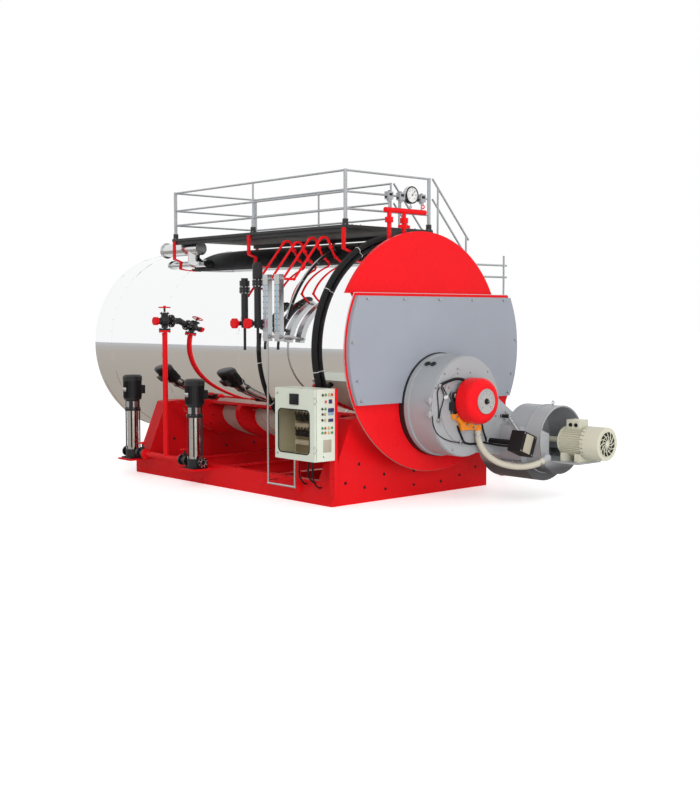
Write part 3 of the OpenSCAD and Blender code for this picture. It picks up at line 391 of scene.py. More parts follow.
# Smokebox front
# Red steel tube plate and the wide red flange in front of the clad smokebox, with a
# bare rolled strip round the flange's edge.
red_paint.coat("front_tube_plate", "smokebox_flange")
flange_low, flange_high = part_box("smokebox_flange")
FLANGE_R = flange_high[0]
edge_y = (flange_low[1] + flange_high[1]) / 2
lip_angle = math.degrees(math.asin((flange_high[2] - AXIS_Z) / FLANGE_R))
steps = 120
edge_line = []
for step in range(steps + 1):
    t = math.radians(180 - lip_angle + (180 + 2 * lip_angle) * step / steps)
    edge_line.append((FLANGE_R * math.cos(t), edge_y, AXIS_Z + FLANGE_R * math.sin(t)))
strip = Stock().sweep(edge_line, 0.008).sweep([edge_line[0], edge_line[-1]], 0.008)
strip.make("flange_edge_strip", stainless)

# Front panel
# Satin grey insulated panel over the upper smokebox, folded from sheet and held
# by bolts with washers round its edge.
panel_grey = painted("satin_grey_panel", (0.32, 0.34, 0.39), 0.42)
panel_grey.coat("front_panel")
panel_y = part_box("front_panel")[0][1]
FRONT = (0, -1, 0)
PANEL_BOLTS = [(0, 3.085), (0.75, 3.085), (1.5, 3.085), (1.79, 2.45), (1.7, 1.9), (1.62, 1.60)]
panel_bolts = Stock()
for x, z in both_sides(PANEL_BOLTS):
    panel_bolts.bolt((x, panel_y, z), FRONT, 0.032)
panel_bolts.make("front_panel_bolts", stainless)

# Burner casing
# Round grey burner casing on a black ring, with a bossed face plate that swings on
# a hinge at its left. Screws hold the plate, and a two-ringed lug on top lifts it.
burner_grey = painted("burner_silver_grey", (0.385, 0.40, 0.415), 0.35, slot="burner_grey")
burner_grey.coat("burner_casing", "burner_face_plate")
black_iron = painted("black_castings", (0.012, 0.012, 0.014), 0.4, 0.7, 180.0, 0.0015, slot="black_iron")
black_iron.coat("burner_ring")
casing_low, casing_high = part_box("burner_casing")
BURNER_Z = (casing_low[2] + casing_high[2]) / 2
CASING_Y = casing_low[1]
BOSS_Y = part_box("burner_face_plate")[0][1]
PLATE_Y = BOSS_Y + 0.012


def on_burner(degrees, reach, y, about=(0, BURNER_Z)):
    """A point at an angle from +X about an axis along Y."""
    t = math.radians(degrees)
    return Vector((about[0] + reach * math.cos(t), y, about[1] + reach * math.sin(t)))


RIM_SCREWS = [(-0.193, 2.055), (-0.481, 1.991), (-0.665, 1.785), (0.48, 1.99),
              (0.665, 1.30), (0.45, 0.97), (-0.30, 0.845)]
BOSS_SCREWS = [(-0.202, 1.985), (0.073, 1.986), (-0.405, 1.779), (0.36, 1.875), (0.50, 1.60)]
plate_screws = Stock()
for x, z in RIM_SCREWS:
    plate_screws.bolt((x, PLATE_Y, z), FRONT, 0.024)
for x, z in BOSS_SCREWS:
    plate_screws.bolt((x, BOSS_Y, z), FRONT, 0.022)
plate_screws.make("face_plate_screws", stainless)
hinge = Stock()
for z in (1.61, 1.405):
    hinge.box((-0.775, CASING_Y + 0.002, z), (0.075, 0.075, 0.07), bevel=0.008)
    hinge.rod((-0.80, CASING_Y - 0.028, z - 0.05), (-0.80, CASING_Y - 0.028, z + 0.05), 0.016)
hinge.make("face_plate_hinge", burner_grey)
LUG_ANGLE, LUG_REACH, LUG_ENDS = 123.5, 0.772, (-3.54, -3.42)
EYE_R, EYE_T = 0.034, 0.014
outward = on_burner(LUG_ANGLE, 1, 0) - on_burner(LUG_ANGLE, 0, 0)
lug = Stock()
for lug_y in LUG_ENDS:
    lug.ring(on_burner(LUG_ANGLE, LUG_REACH, lug_y), outward, EYE_R, EYE_T, 28)
web_ends = (LUG_ENDS[0] + EYE_R, LUG_ENDS[1] - EYE_R)
lug.sweep([on_burner(LUG_ANGLE, LUG_REACH, y) for y in web_ends], EYE_T)
lug.make("casing_lifting_lug", black_iron)

# Burner head
# Black neck and deep red cover with a grey dial and black knob on its front. Small black
# air gear stands at its left, and the orange gas valve arm crosses the face plate below it.
black_iron.coat("burner_head_body")
red_paint.coat("burner_head_cover")
dial_grey = painted("dial_grey", (0.44, 0.43, 0.42), 0.4)
dial_grey.coat("burner_dial")
orange = painted("orange_paint", (0.9, 0.29, 0.02), 0.3, slot="orange_paint")
orange.coat("gas_valve_arm")
dial_low, dial_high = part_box("burner_dial")
HEAD = (0, (dial_low[2] + dial_high[2]) / 2)
DIAL_R, DIAL_Y, KNOB_Y = dial_high[0], dial_low[1] + 0.03, dial_low[1]


def figures(stock, text, at, height):
    """Flat figures that face -Y, added to a piece."""
    curve = bpy.data.curves.new("figures", "FONT")
    curve.body, curve.size, curve.extrude = text, 1.4 * height, 0.0006
    curve.align_x, curve.align_y = "CENTER", "CENTER"
    holder = bpy.data.objects.new("figures", curve)
    bpy.context.collection.objects.link(holder)
    mesh = bpy.data.meshes.new_from_object(holder.evaluated_get(bpy.context.evaluated_depsgraph_get()))
    mesh.transform(Matrix.Translation(at) @ Matrix.Rotation(math.radians(90), 4, "X"))
    stock.mesh.from_mesh(mesh)
    bpy.data.objects.remove(holder)
    bpy.data.meshes.remove(mesh)
    bpy.data.curves.remove(curve)


def turn_y(degrees):
    return Matrix.Rotation(math.radians(degrees), 4, "Y")


def scale_marks(stock, centre, reach, y, first, last, count, long, thick):
    """Dial marks on an arc, each fifth of them longer."""
    for step in range(count + 1):
        angle = first + (last - first) * step / count
        inner = reach - (long if step % 5 == 0 else 0.55 * long)
        middle = on_burner(angle, (reach + inner) / 2, y, centre)
        stock.box(middle, (reach - inner, 0.0012, thick), turn_y(-angle))


dial_marks = Stock()
scale_marks(dial_marks, HEAD, 0.165, DIAL_Y, 225, -45, 40, 0.024, 0.0035)
for step in range(9):
    figures(dial_marks, str(step), on_burner(225 - 33.75 * step, 0.118, DIAL_Y - 0.0002, HEAD), 0.026)
dial_marks.make("burner_dial_marks", plastic, smooth=0)
KNOB = [(0, 0.046), (0.006, 0.046), (0.010, 0.036), (0.032, 0.033), (0.035, 0.028)]
knob = Stock().capped((0, DIAL_Y + 0.001, HEAD[1]), FRONT, KNOB, 40)
knob.make("burner_dial_knob", plastic)
pointer = Stock().box((0.012, KNOB_Y - 0.005, HEAD[1] + 0.012), (0.004, 0.002, 0.034), turn_y(45))
white_plastic = painted("white_plastic", (0.8, 0.8, 0.78), 0.4, slot="cabinet_paint")
pointer.make("burner_dial_pointer", white_plastic, smooth=0)
rim = Stock().ring((0, DIAL_Y + 0.004, HEAD[1]), BACK, DIAL_R - 0.002, 0.006, 72)
rim.make("burner_dial_rim", stainless)
neck_bolts = Stock().bolts((0, BOSS_Y, HEAD[1]), FRONT, 0.30, 8, 0.03, 22)
ARM_Y = -3.895
for x, drop, size in ((-0.30, 0.135, 0.036), (-0.06, 0.265, 0.03), (0.08, 0.315, 0.03)):
    neck_bolts.bolt((x, ARM_Y, BURNER_Z - drop), FRONT, size)
SERVO_X, SERVO_Z, SENSOR_X, SENSOR_Z, COLLAR_Y = -0.335, 1.66, -0.33, 1.41, -3.87
side_gear = Stock().rod((SERVO_X, BOSS_Y + 0.002, SERVO_Z), (SERVO_X, -3.925, SERVO_Z), 0.055, 28)
side_gear.box((-0.345, -3.875, 1.50), (0.10, 0.092, 0.13), bevel=0.01)
side_gear.rod((-0.375, -3.89, 1.56), (-0.375, -3.89, 1.62), 0.018)
side_gear.rod((SENSOR_X, BOSS_Y + 0.002, SENSOR_Z), (SENSOR_X, -3.90, SENSOR_Z), 0.03, 20)
side_gear.make("burner_side_gear", black_iron)
SERVO_CAP = [(0, 0.04), (0.01, 0.036), (0.012, 0.02)]
side_trim = Stock().capped((SERVO_X, -3.924, SERVO_Z), FRONT, SERVO_CAP, 24)
side_trim.ring((SERVO_X, COLLAR_Y, SERVO_Z), BACK, 0.056, 0.005, 32)
side_trim.ring((SENSOR_X, COLLAR_Y, SENSOR_Z), BACK, 0.031, 0.005, 24)
side_trim.make("burner_side_trim", stainless)
neck_bolts.make("burner_head_bolts", stainless)

# Burner wiring
# Fixed leads clipped to the face plate: a black ribbed conduit from behind the cover to
# the ignition leads at the left, thin sensor leads, and a conduit along the foot to the actuator.


def smooth_line(points, step):
    """Points about a step apart on a smooth curve through the given ones."""
    points = [Vector(p) for p in points]
    padded = [points[0], *points, points[-1]]
    line = []
    for before, a, b, after in zip(padded, padded[1:], padded[2:], padded[3:]):
        count = max(1, round((b - a).length / step))
        for k in range(count):
            t = k / count
            square = (2 * before - 5 * a + 4 * b - after) * t * t
            cube = (3 * a - before - 3 * b + after) * t ** 3
            line.append(0.5 * (2 * a + (b - before) * t + square + cube))
    return line + [points[-1]]


def ribbed(stock, points, radius, pitch=0.012):
    """A corrugated conduit through points."""
    line = smooth_line(points, pitch / 4)
    return stock.sweep(line, [radius * (0.86 if i % 4 in (2, 3) else 1) for i in range(len(line))], 14)


head_conduit = [(-0.10, -3.87, 1.825), (-0.15, -3.895, 1.89), (-0.30, -3.885, 1.905), (-0.444, -3.865, 1.875),
                (-0.55, -3.85, 1.84), (-0.60, -3.842, 1.815)]
foot_conduit = [(-0.22, -3.85, 1.20), (-0.198, -3.85, 1.148), (-0.13, -3.85, 1.03), (-0.073, -3.85, 0.945),
                (0.02, -3.848, 0.918), (0.10, -3.84, 0.905), (0.255, -3.835, 0.90), (0.40, -3.825, 0.905),
                (0.47, -3.835, 0.89), (0.52, -3.95, 0.872), (0.535, -4.15, 0.868), (0.54, -4.325, 0.868)]
cover_conduit = [(0.27, -3.86, 1.33), (0.30, -3.862, 1.22), (0.36, -3.85, 1.08), (0.42, -3.84, 0.98),
                 (0.45, -3.825, 0.92)]
conduits = Stock()
for route, radius in ((head_conduit, 0.022), (foot_conduit, 0.017), (cover_conduit, 0.014)):
    ribbed(conduits, route, radius)
conduits.make("burner_conduits", plastic, smooth=60)
lead_routes = [
    [(-0.60, -3.84, 1.815), (-0.63, -3.836, 1.75), (-0.637, -3.83, 1.70), (-0.62, -3.828, 1.55),
     (-0.608, -3.828, 1.45), (-0.616, -3.835, 1.32)],
    [(-0.585, -3.842, 1.815), (-0.53, -3.84, 1.72), (-0.509, -3.84, 1.65), (-0.55, -3.838, 1.52),
     (-0.575, -3.832, 1.45), (-0.605, -3.835, 1.32)],
    [(-0.57, -3.845, 1.83), (-0.52, -3.85, 1.76), (-0.487, -3.86, 1.70), (-0.485, -3.87, 1.655)],
    [(-0.735, -3.825, 1.39), (-0.715, -3.823, 1.25), (-0.64, -3.823, 1.12), (-0.51, -3.825, 1.035),
     (-0.36, -3.84, 0.98), (-0.21, -3.84, 0.953), (-0.15, -3.845, 0.95)],
]
leads = Stock()
for lead in lead_routes:
    leads.sweep(smooth_line(lead, 0.01), 0.008, 8)
leads.make("burner_leads", plastic, smooth=60)
LEAD_PLUG = [(0, 0.034), (0.03, 0.034), (0.034, 0.026), (0.06, 0.024)]
FOOT_PLUG = [(0, 0.03), (0.03, 0.03), (0.036, 0.02), (0.055, 0.02)]
IGNITION_PLUG = [(0, 0.03), (0.02, 0.03), (0.024, 0.018), (0.05, 0.016)]
plugs = Stock().capped((-0.612, -3.815, 1.30), FRONT, LEAD_PLUG, 24)
plugs.capped((-0.145, -3.828, 0.952), FRONT, FOOT_PLUG, 24)
plugs.box((-0.60, -3.838, 1.815), (0.05, 0.05, 0.05), bevel=0.006)
plugs.make("burner_lead_plugs", stainless)
ignition = Stock().capped((-0.485, -3.828, 1.64), FRONT, IGNITION_PLUG, 20)
ignition.box((-0.485, -3.872, 1.652), (0.03, 0.026, 0.036), bevel=0.005)
ignition.make("ignition_plug", white_plastic)

# Burner hose
# Corrugated beige air hose from the gas valve arm's socket to the elbow on the fan's
# front plate. It hangs free, with a steel clip at each end.
FACE = Vector((0, CASING_Y, BURNER_Z))
hose_route = [(190, -83, -370), (190, -83, -430), (192, -95, -500), (200, -122, -575), (216, -162, -650),
              (242, -214, -722), (280, -278, -785), (330, -348, -835), (390, -420, -870), (458, -495, -893),
              (532, -566, -905), (610, -631, -906), (692, -688, -895), (773, -732, -875), (846, -760, -849),
              (906, -770, -823)]
hose_line = [FACE + Vector(p) / 1000 for p in hose_route]


def length_of(line):
    return sum((b - a).length for a, b in zip(line, line[1:]))


hose_beige = painted("beige_hose", (0.6, 0.56, 0.46), 0.55, slot="hose_beige")
line = smooth_line(hose_line, 0.006)
ribs = [0.050 - (0.005 if i % 4 in (2, 3) else 0) for i in range(len(line))]
hose = Stock().sweep(line, ribs, 28).make("corrugated_hose", hose_beige, smooth=70)
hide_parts("burner_hose")
length_of(line)

hose_clips = Stock()
for near, far in ((hose_line[1], hose_line[2]), (hose_line[-2], hose_line[-3])):
    hose_clips.hoop(near, far - near, 0.048, 0.0525, 0.022, 40, closed=True)
hose_clips.make("hose_clips", stainless)

# Fan and air duct
# Welded grey fan drum, scroll and duct beside the burner, with painted shade darkening the grey below the
# lugs that bolt the scroll's halves through black gaskets. Bolts hold the duct's face, and an eye lifts the
# drum.
burner_grey.coat("motor_shelf")
SILVER, PAINTED_SHADE_GREY = (0.385, 0.40, 0.415), (0.085, 0.088, 0.095)
fan_grey = painted("fan_silver_grey", SILVER, 0.35)
# Painted shade: the grey turns to a dark shade colour below the lugs, where the scroll lies in shade.
height = fan_grey.node("ShaderNodeSeparateXYZ", {}, fan_grey.place(), out=2)
unshaded_share = fan_grey.node("ShaderNodeMapRange", {"interpolation_type": "SMOOTHSTEP"}, height, 0.47, 0.64)
fan_grey.feed(**{"Base Color": fan_grey.mix(unshaded_share, PAINTED_SHADE_GREY, SILVER)})
fan_grey.coat("air_duct", "fan_housing")
FAN = (1.43, 0.925)
DRUM_R, DRUM_Y, DUCT_Y, EYE_Y = 0.53, -4.5, -3.8, -4.33
DRUM_TOP = FAN[1] + DRUM_R
seam = (FAN[0], DRUM_Y + 0.30, FAN[1])
fan_trim = Stock().hoop(seam, FRONT, DRUM_R - 0.002, DRUM_R + 0.012, 0.025, 120)
fan_trim.rod((FAN[0], EYE_Y, DRUM_TOP - 0.01), (FAN[0], EYE_Y, DRUM_TOP + 0.02), 0.012)
fan_trim.ring((FAN[0], EYE_Y, DRUM_TOP + 0.042), BACK, 0.026, 0.008, 32)
fan_trim.make("fan_drum_trim", burner_grey)
opening = [on_burner(21 + 3 * step, DRUM_R - 0.003, DRUM_Y, FAN) for step in range(61)]
Stock().sweep(opening, 0.008).make("fan_opening_bead", stainless, smooth=60)
UP = (0, 0, 1)
gaskets, fan_bolts = Stock(), Stock()
for lug_x in (0.838, 2.022):
    gaskets.box((lug_x, -3.975, 0.588), (0.074, 0.448, 0.012))
    for lug_y in (-4.15, -4.03, -3.91, -3.79):
        fan_bolts.bolt((lug_x, lug_y, 0.601), UP, 0.03)
for angle in (140, 150, 160, 170, 180):
    fan_bolts.bolt(on_burner(angle, 0.61, DUCT_Y, FAN), FRONT, 0.026)
gaskets.make("fan_lug_gaskets", plastic, smooth=0)
fan_bolts.make("fan_bolts", stainless)

# Fan motor
# Cream-enamelled finned motor on a shelf, with a terminal box, two cable glands and
# a cowl whose round grille has curved ribs over the dark fan behind.
cream = painted("cream_enamel", (0.66, 0.65, 0.52), 0.35, slot="motor_cream")
cream.coat("motor_body", "motor_cowl")
cowl_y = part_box("motor_cowl")[0][1]
GRILLE_R, RIB_Y = 0.19, cowl_y - 0.004
RIB_REACH = (0.035, 0.06, 0.085, 0.11, 0.135, 0.16, GRILLE_R)
dark = Stock().capped((FAN[0], cowl_y + 0.002, FAN[1]), FRONT, [(0, GRILLE_R), (0.003, GRILLE_R)], 72)
dark.make("cowl_grille_back", plastic)
ribs_over = Stock().ring((FAN[0], RIB_Y, FAN[1]), BACK, GRILLE_R, 0.008, 72)
ribs_over.ring((FAN[0], RIB_Y, FAN[1]), BACK, 0.115, 0.004, 60)
for step in range(12):
    rib = [on_burner(30 * step + 260 * (reach - 0.04), reach, RIB_Y, FAN) for reach in RIB_REACH]
    ribs_over.sweep(rib, 0.007, 8)
ribs_over.capped((FAN[0], cowl_y, FAN[1]), FRONT, [(0, 0.042), (0.008, 0.042), (0.012, 0.03)], 32)
ribs_over.make("cowl_grille_ribs", cream)
BOX_TOP, BOX_LEFT, BOX_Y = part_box("motor_body")[1][2], FAN[0] - 0.11, -4.80
LEFT = (-1, 0, 0)
GLAND = [(0, 0.03), (0.012, 0.03), (0.012, 0.022), (0.03, 0.02)]
glands = Stock()
for gland_y in (-4.86, -4.76):
    glands.capped((BOX_LEFT + 0.002, gland_y, BOX_TOP - 0.065), LEFT, GLAND, 20)
glands.make("terminal_box_glands", plastic)
lid = Stock().box((FAN[0], BOX_Y, BOX_TOP + 0.004), (0.226, 0.246, 0.016), bevel=0.005)
for dx in (-0.095, 0.095):
    for dy in (-0.105, 0.105):
        lid.dome((FAN[0] + dx, BOX_Y + dy, BOX_TOP + 0.012), UP, 0.009, 0.005)
lid.make("terminal_box_lid", cream)
foot_bolts = Stock()
for foot_y in (-4.96, -4.68):
    for side in (-1, 1):
        foot_bolts.bolt((FAN[0] + side * 0.245, foot_y, 0.63), UP, 0.026)
foot_bolts.make("motor_shelf_bolts", stainless)

# Damper actuator
# Black moulded actuator on a post from the duct, tilted with it, with a blank tan label
# plate and four cover screws. A plated rod and ball joints work the damper crank.
plastic.coat("damper_actuator")
ACTUATOR = Vector((0.565, -4.56, 0.925))
chrome_plate = brushed("plated_linkage", (0.70, 0.71, 0.72), 0.15, slot="stainless")
tilt = turn_y(21)
tan_plate = painted("tan_label_plate", (0.44, 0.40, 0.31), 0.45, slot="gear_plate")
label = Stock().box(ACTUATOR + tilt @ Vector((-0.01, -0.001, 0)), (0.17, 0.006, 0.28), tilt, 0.002)
label.make("actuator_label", tan_plate)
cover_screws = Stock()
for dx in (-0.135, 0.135):
    for dz in (-0.135, 0.135):
        cover_screws.dome(ACTUATOR + tilt @ Vector((dx, 0, dz)), FRONT, 0.012, 0.006, 16)
cover_screws.make("actuator_screws", stainless)
CRANK, ROD_END = Vector((0.83, DUCT_Y - 0.14, BURNER_Z - 0.19)), Vector((0.625, -4.36, 1.045))
along_rod = (ROD_END - CRANK).normalized()
linkage = Stock().rod(CRANK + 0.05 * along_rod, ROD_END - 0.06 * along_rod, 0.0145, 18)
for share in (0.12, 0.30, 0.80):
    linkage.capped(CRANK.lerp(ROD_END, share), along_rod, [(0, 0.024), (0.03, 0.024)], 6)
CRANK_CAP = [(0, 0.026), (0.012, 0.026), (0.018, 0.016)]
linkage.capped((CRANK.x, DUCT_Y - 0.159, CRANK.z), FRONT, CRANK_CAP, 20)
linkage.ring((CRANK.x, DUCT_Y - 0.03, CRANK.z), BACK, 0.033, 0.006, 28)
linkage.box((CRANK.x, DUCT_Y - 0.09, CRANK.z + 0.045), (0.03, 0.03, 0.07), bevel=0.004)
linkage.make("damper_linkage", chrome_plate)

# Platform and railings
# Black checker-plate deck on beams and red brackets over the shell, with galvanised
# tube railings in black shoes, and the stair and landing at the right.
deck_black = Finish("black_deck_paint", (0.02, 0.02, 0.023), 0.5)
skew = (0, 0, math.radians(45))
across = deck_black.node("ShaderNodeMapping", {}, Vector=deck_black.place(), Rotation=skew)
lines = []
for way in ("X", "Y"):
    stripes = {"wave_type": "BANDS", "bands_direction": way}
    lines.append(deck_black.node("ShaderNodeTexWave", stripes, Vector=across, Scale=9.0))
worn = deck_black.noise(2.0, 5.0)
deck_black.feed(**{
    "Base Color": deck_black.mix(worn, (0.013, 0.013, 0.015), (0.030, 0.030, 0.033)),
    "Roughness": worn * 0.25 + 0.38,
    "Normal": deck_black.bump(lines[0] * lines[1] > 0.55, 0.35, 0.003),
})
deck_black.coat("platform_deck", "deck_beams", "post_shoes", "stair_stringers", "stair_treads")
red_paint.coat("deck_brackets", "landing_legs")
zinc = Finish("galvanised_steel", (0.46, 0.48, 0.50), 0.4, Metallic=0.6, slot="galvanised")
spangle = zinc.node("ShaderNodeTexVoronoi", {}, Vector=zinc.place(), Scale=30.0)
zinc.feed(**{
    "Base Color": zinc.mix(spangle, (0.40, 0.42, 0.44), (0.52, 0.54, 0.56)),
    "Roughness": spangle * 0.2 + 0.3,
    "Normal": zinc.bump(zinc.noise(40.0), 0.08, 0.0005),
})
zinc.coat("side_railings", "end_railings", "stair_handrails", "landing_railings")
shoe_bolts = Stock()
RAIL_X, RAIL_Y, DECK_Z = 0.92, (-2.12, 0.22, 2.56), 4.244
for side in (-1, 1):
    for post_y in RAIL_Y:
        if (side, post_y) != (1, 0.22):
            for dx in (-0.034, 0.034):
                for dy in (-0.034, 0.034):
                    shoe_bolts.bolt((side * RAIL_X + dx, post_y + dy, DECK_Z), UP, 0.014)
for bracket_y in (-2.12, 0.3, 2.56):
    for side in (-1, 1):
        for dx in (0.60, 0.78):
            shoe_bolts.bolt((side * dx, bracket_y, DECK_Z), UP, 0.022)
shoe_bolts.make("deck_bolts", zinc)

# Steam outlet
# Polished stainless main steam pipe with an open flange. It rises from the shell near
# the rear and lies along its top under the deck.
polished = brushed("polished_steel", (0.80, 0.81, 0.82), 0.2, (6.0, 60.0, 6.0))
polished.coat("steam_outlet")

# Steam header
# Red pipe header on two risers with a stop cock, carrying a dial gauge and three
# grey pressure switches on stems. A pipe loop protects the right-hand switch from steam.
red_paint.coat("steam_header")
stainless.coat("pressure_gauge")
switch_grey = painted("switch_grey", (0.36, 0.37, 0.39), 0.4)
switch_grey.coat("pressure_switches")
gauge_low, gauge_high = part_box("pressure_gauge")
GAUGE_R = (gauge_high[0] - gauge_low[0]) / 2
GAUGE = ((gauge_high[0] + gauge_low[0]) / 2, gauge_high[2] - GAUGE_R)
GAUGE_Y = gauge_low[1]
FACE_R = GAUGE_R - 0.016
face = Stock().capped((GAUGE[0], GAUGE_Y + 0.001, GAUGE[1]), FRONT, [(0, FACE_R), (0.003, FACE_R)], 64)
face.make("gauge_face", white_plastic)
gauge_rim = Stock().ring((GAUGE[0], GAUGE_Y, GAUGE[1]), BACK, GAUGE_R - 0.010, 0.011, 64)
gauge_rim.make("gauge_rim", plastic)
gauge_marks = Stock()
scale_marks(gauge_marks, GAUGE, 0.108, GAUGE_Y - 0.003, 225, -45, 30, 0.018, 0.003)
for step in range(7):
    figures(gauge_marks, str(4 * step), on_burner(225 - 45 * step, 0.074, GAUGE_Y - 0.003, GAUGE), 0.018)
NEEDLE = 48
gauge_marks.box(on_burner(NEEDLE, 0.035, GAUGE_Y - 0.005, GAUGE), (0.115, 0.002, 0.006), turn_y(-NEEDLE))
gauge_marks.capped((GAUGE[0], GAUGE_Y - 0.003, GAUGE[1]), FRONT, [(0, 0.010), (0.005, 0.010)], 20)
gauge_marks.make("gauge_marks", plastic, smooth=0)
HEADER_Y, SWITCH_TOP = -2.6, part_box("pressure_switches")[1][2]
SWITCH_CAP = [(0, 0.020), (0.016, 0.018), (0.018, 0.014)]
SWITCH_GLAND = [(0, 0.016), (0.016, 0.016), (0.018, 0.011), (0.03, 0.011)]
switch_trim = Stock()
for switch_x in (-0.45, -0.2, 0.26):
    switch_trim.box((switch_x, HEADER_Y - 0.045, SWITCH_TOP - 0.045), (0.066, 0.006, 0.040), bevel=0.002)
    switch_trim.capped((switch_x, HEADER_Y, SWITCH_TOP - 0.001), UP, SWITCH_CAP, 20)
    switch_trim.capped((switch_x - 0.052, HEADER_Y, SWITCH_TOP - 0.085), LEFT, SWITCH_GLAND, 16)
switch_trim.make("switch_trim", plastic)
siphon = Stock().ring((0.296, HEADER_Y, 4.555), BACK, 0.028, 0.009, 32)
siphon.make("switch_siphon_loop", red_paint)

# Feed water line
# Red welded riser from the pumps' manifold to a black cast stop valve at the shell.
# Studs and nuts join the valve's flanges.
red_paint.coat("feed_riser", "valve_wheels")
black_iron.coat("feed_valve")
PUMP_X, RISER_Y, VALVE_Z = -1.95, 1.38, 2.75
valve_studs = Stock().studs((PUMP_X + 0.1305, RISER_Y, VALVE_Z), (1, 0, 0), 0.092, 8, 0.075, 0.008)
valve_studs.studs((PUMP_X, RISER_Y, VALVE_Z - 0.16), UP, 0.083, 6, 0.09, 0.008)
valve_studs.bolts((PUMP_X, RISER_Y, VALVE_Z + 0.143), UP, 0.062, 6, 0.02)
valve_studs.make("feed_valve_studs", stainless)

# Level devices
# Two black cast level chambers with capped flanges and two stainless gauge glasses on
# the left flank, with red tubes up to the steam space and stainless drains below.
black_iron.coat("level_chambers")
red_paint.coat("impulse_tubes")
stainless.coat("gauge_glasses", "drain_pipes")
LEVEL_X = -1.9
chamber_studs = Stock()
for chamber_y, chamber_top in ((-0.836, 3.306), (-1.172, 3.41)):
    chamber_studs.studs((LEVEL_X, chamber_y, chamber_top - 0.063), UP, 0.071, 8, 0.115, 0.007)
chamber_studs.make("chamber_studs", stainless)
glass_low, glass_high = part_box("gauge_glasses")
frame_bolts, glass_strips = Stock(), Stock()
water_glass = Finish("level_glass", (0.25, 0.45, 0.62), 0.06, Coat_Weight=1.0, slot="window_glass")
depth = water_glass.noise(6.0, 2.0)
water_glass.feed(**{"Base Color": water_glass.mix(depth, (0.16, 0.34, 0.52), (0.34, 0.55, 0.70))})
GLASS_X, GLASS_Z0, GLASS_Z1 = glass_low[0], glass_low[2], glass_high[2]
COCK_CAP = [(0, 0.024), (0.014, 0.024), (0.018, 0.016)]
for glass_y in (-1.42, -1.703):
    middle = (GLASS_X + 0.001, glass_y, (GLASS_Z0 + GLASS_Z1) / 2)
    glass_strips.box(middle, (0.008, 0.034, 0.72), bevel=0.003)
    for step in range(9):
        for side in (-1, 1):
            bolt_z = GLASS_Z0 + 0.16 + 0.0875 * step
            frame_bolts.bolt((GLASS_X, glass_y + side * 0.043, bolt_z), LEFT, 0.017)
    for cock_z in (GLASS_Z0 + 0.07, GLASS_Z1 - 0.07):
        frame_bolts.capped((LEVEL_X, glass_y - 0.089, cock_z), FRONT, COCK_CAP, 6)
frame_bolts.make("gauge_glass_bolts", stainless)
glass_strips.make("gauge_glass_strips", water_glass)

# Shell wiring
# A thick bundle of black cables strapped round the shell from the deck to the cabinet, a
# probe cable lower down, and a thin pair of conduits. White ties and steel clips hold them.
plastic.coat("conduit_bundle")
BUNDLE_Y, BUNDLE_R, STRAND_R = -2.35, 0.045, 0.011
strands = Stock()
for lean in (-78, -47, -16, 16, 47, 78):
    spread = BUNDLE_R - 0.7 * STRAND_R
    up = BUNDLE_R + spread * math.cos(math.radians(lean))
    aside = BUNDLE_Y + spread * math.sin(math.radians(lean))
    strands.sweep([on_shell(93 + 1.5 * step, aside, up) for step in range(72)], STRAND_R, 8)
strands.make("bundle_strands", plastic, smooth=60)


def round_shell(degrees, y):
    """The way round the shell at an angle."""
    return on_shell(degrees + 1, y) - on_shell(degrees - 1, y)


PROBE_Y, PROBE_UP, PAIR_Y, PAIR_UP = -0.93, 0.021, -1.605, 0.009
ties = Stock()
for angle in (120, 149, 191):
    ties.ring(on_shell(angle, BUNDLE_Y, BUNDLE_R), round_shell(angle, BUNDLE_Y), 0.050, 0.005, 32, 8)
for angle in (188, 212):
    ties.ring(on_shell(angle, PROBE_Y, PROBE_UP), round_shell(angle, PROBE_Y), 0.022, 0.005, 32, 8)
ties.make("cable_ties", white_plastic)
pair_dark, pair_bright = Stock(), Stock()
pair_dark.sweep([on_shell(112 + 1.5 * step, PAIR_Y, PAIR_UP) for step in range(36)], 0.010, 10)
pair_bright.sweep([on_shell(112 + 1.5 * step, -1.575, 0.014) for step in range(36)], 0.015, 10)
for angle in (114, 128, 142, 156):
    pair_bright.ring(on_shell(angle, PAIR_Y, PAIR_UP), round_shell(angle, PAIR_Y), 0.011, 0.004, 20, 6)
pair_dark.make("level_conduit_dark", plastic, smooth=60)
pair_bright.make("level_conduit_bright", stainless, smooth=60)

# Control cabinet
# Pale powder-coated sheet cabinet on red posts. Its door has a gasketed window, a black
# meter and two locks, and its right side carries buttons, lamps and small displays.
pale = painted("pale_powder_coat", (0.70, 0.75, 0.64), 0.4, 0.93, 140.0)
pale.coat("cabinet_box", "cabinet_door")
red_paint.coat("cabinet_stand", "pump_brackets")
glass = Finish("tinted_window", (0.86, 0.77, 0.66), 0.03, Transmission_Weight=1.0, IOR=1.15)
glass.feed(Roughness=glass.noise(8.0) * 0.04 + 0.02)
glass.coat("cabinet_window")
gear = painted("gear_plate", (0.42, 0.37, 0.27), 0.5)
gear.coat("cabinet_gear")
door_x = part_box("cabinet_door")[0][0]
(_, WIN_Y0, WIN_Z0), (_, WIN_Y1, WIN_Z1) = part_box("cabinet_window")
WIN_R = 0.07
rim_line = []
corners = ((WIN_Y1 - WIN_R, WIN_Z1 - WIN_R), (WIN_Y0 + WIN_R, WIN_Z1 - WIN_R),
           (WIN_Y0 + WIN_R, WIN_Z0 + WIN_R), (WIN_Y1 - WIN_R, WIN_Z0 + WIN_R))
for quarter, (y, z) in enumerate(corners):
    for step in range(9):
        t = math.radians(90 * quarter + 11.25 * step)
        rim_line.append((door_x - 0.001, y + WIN_R * math.cos(t), z + WIN_R * math.sin(t)))
gasket = Stock().sweep(rim_line + rim_line[:1], 0.009, 10)
gasket.make("window_gasket", plastic, "cabinet_door_leaf", 60)
METER_Y, LOCK_Y = -2.395, -1.998
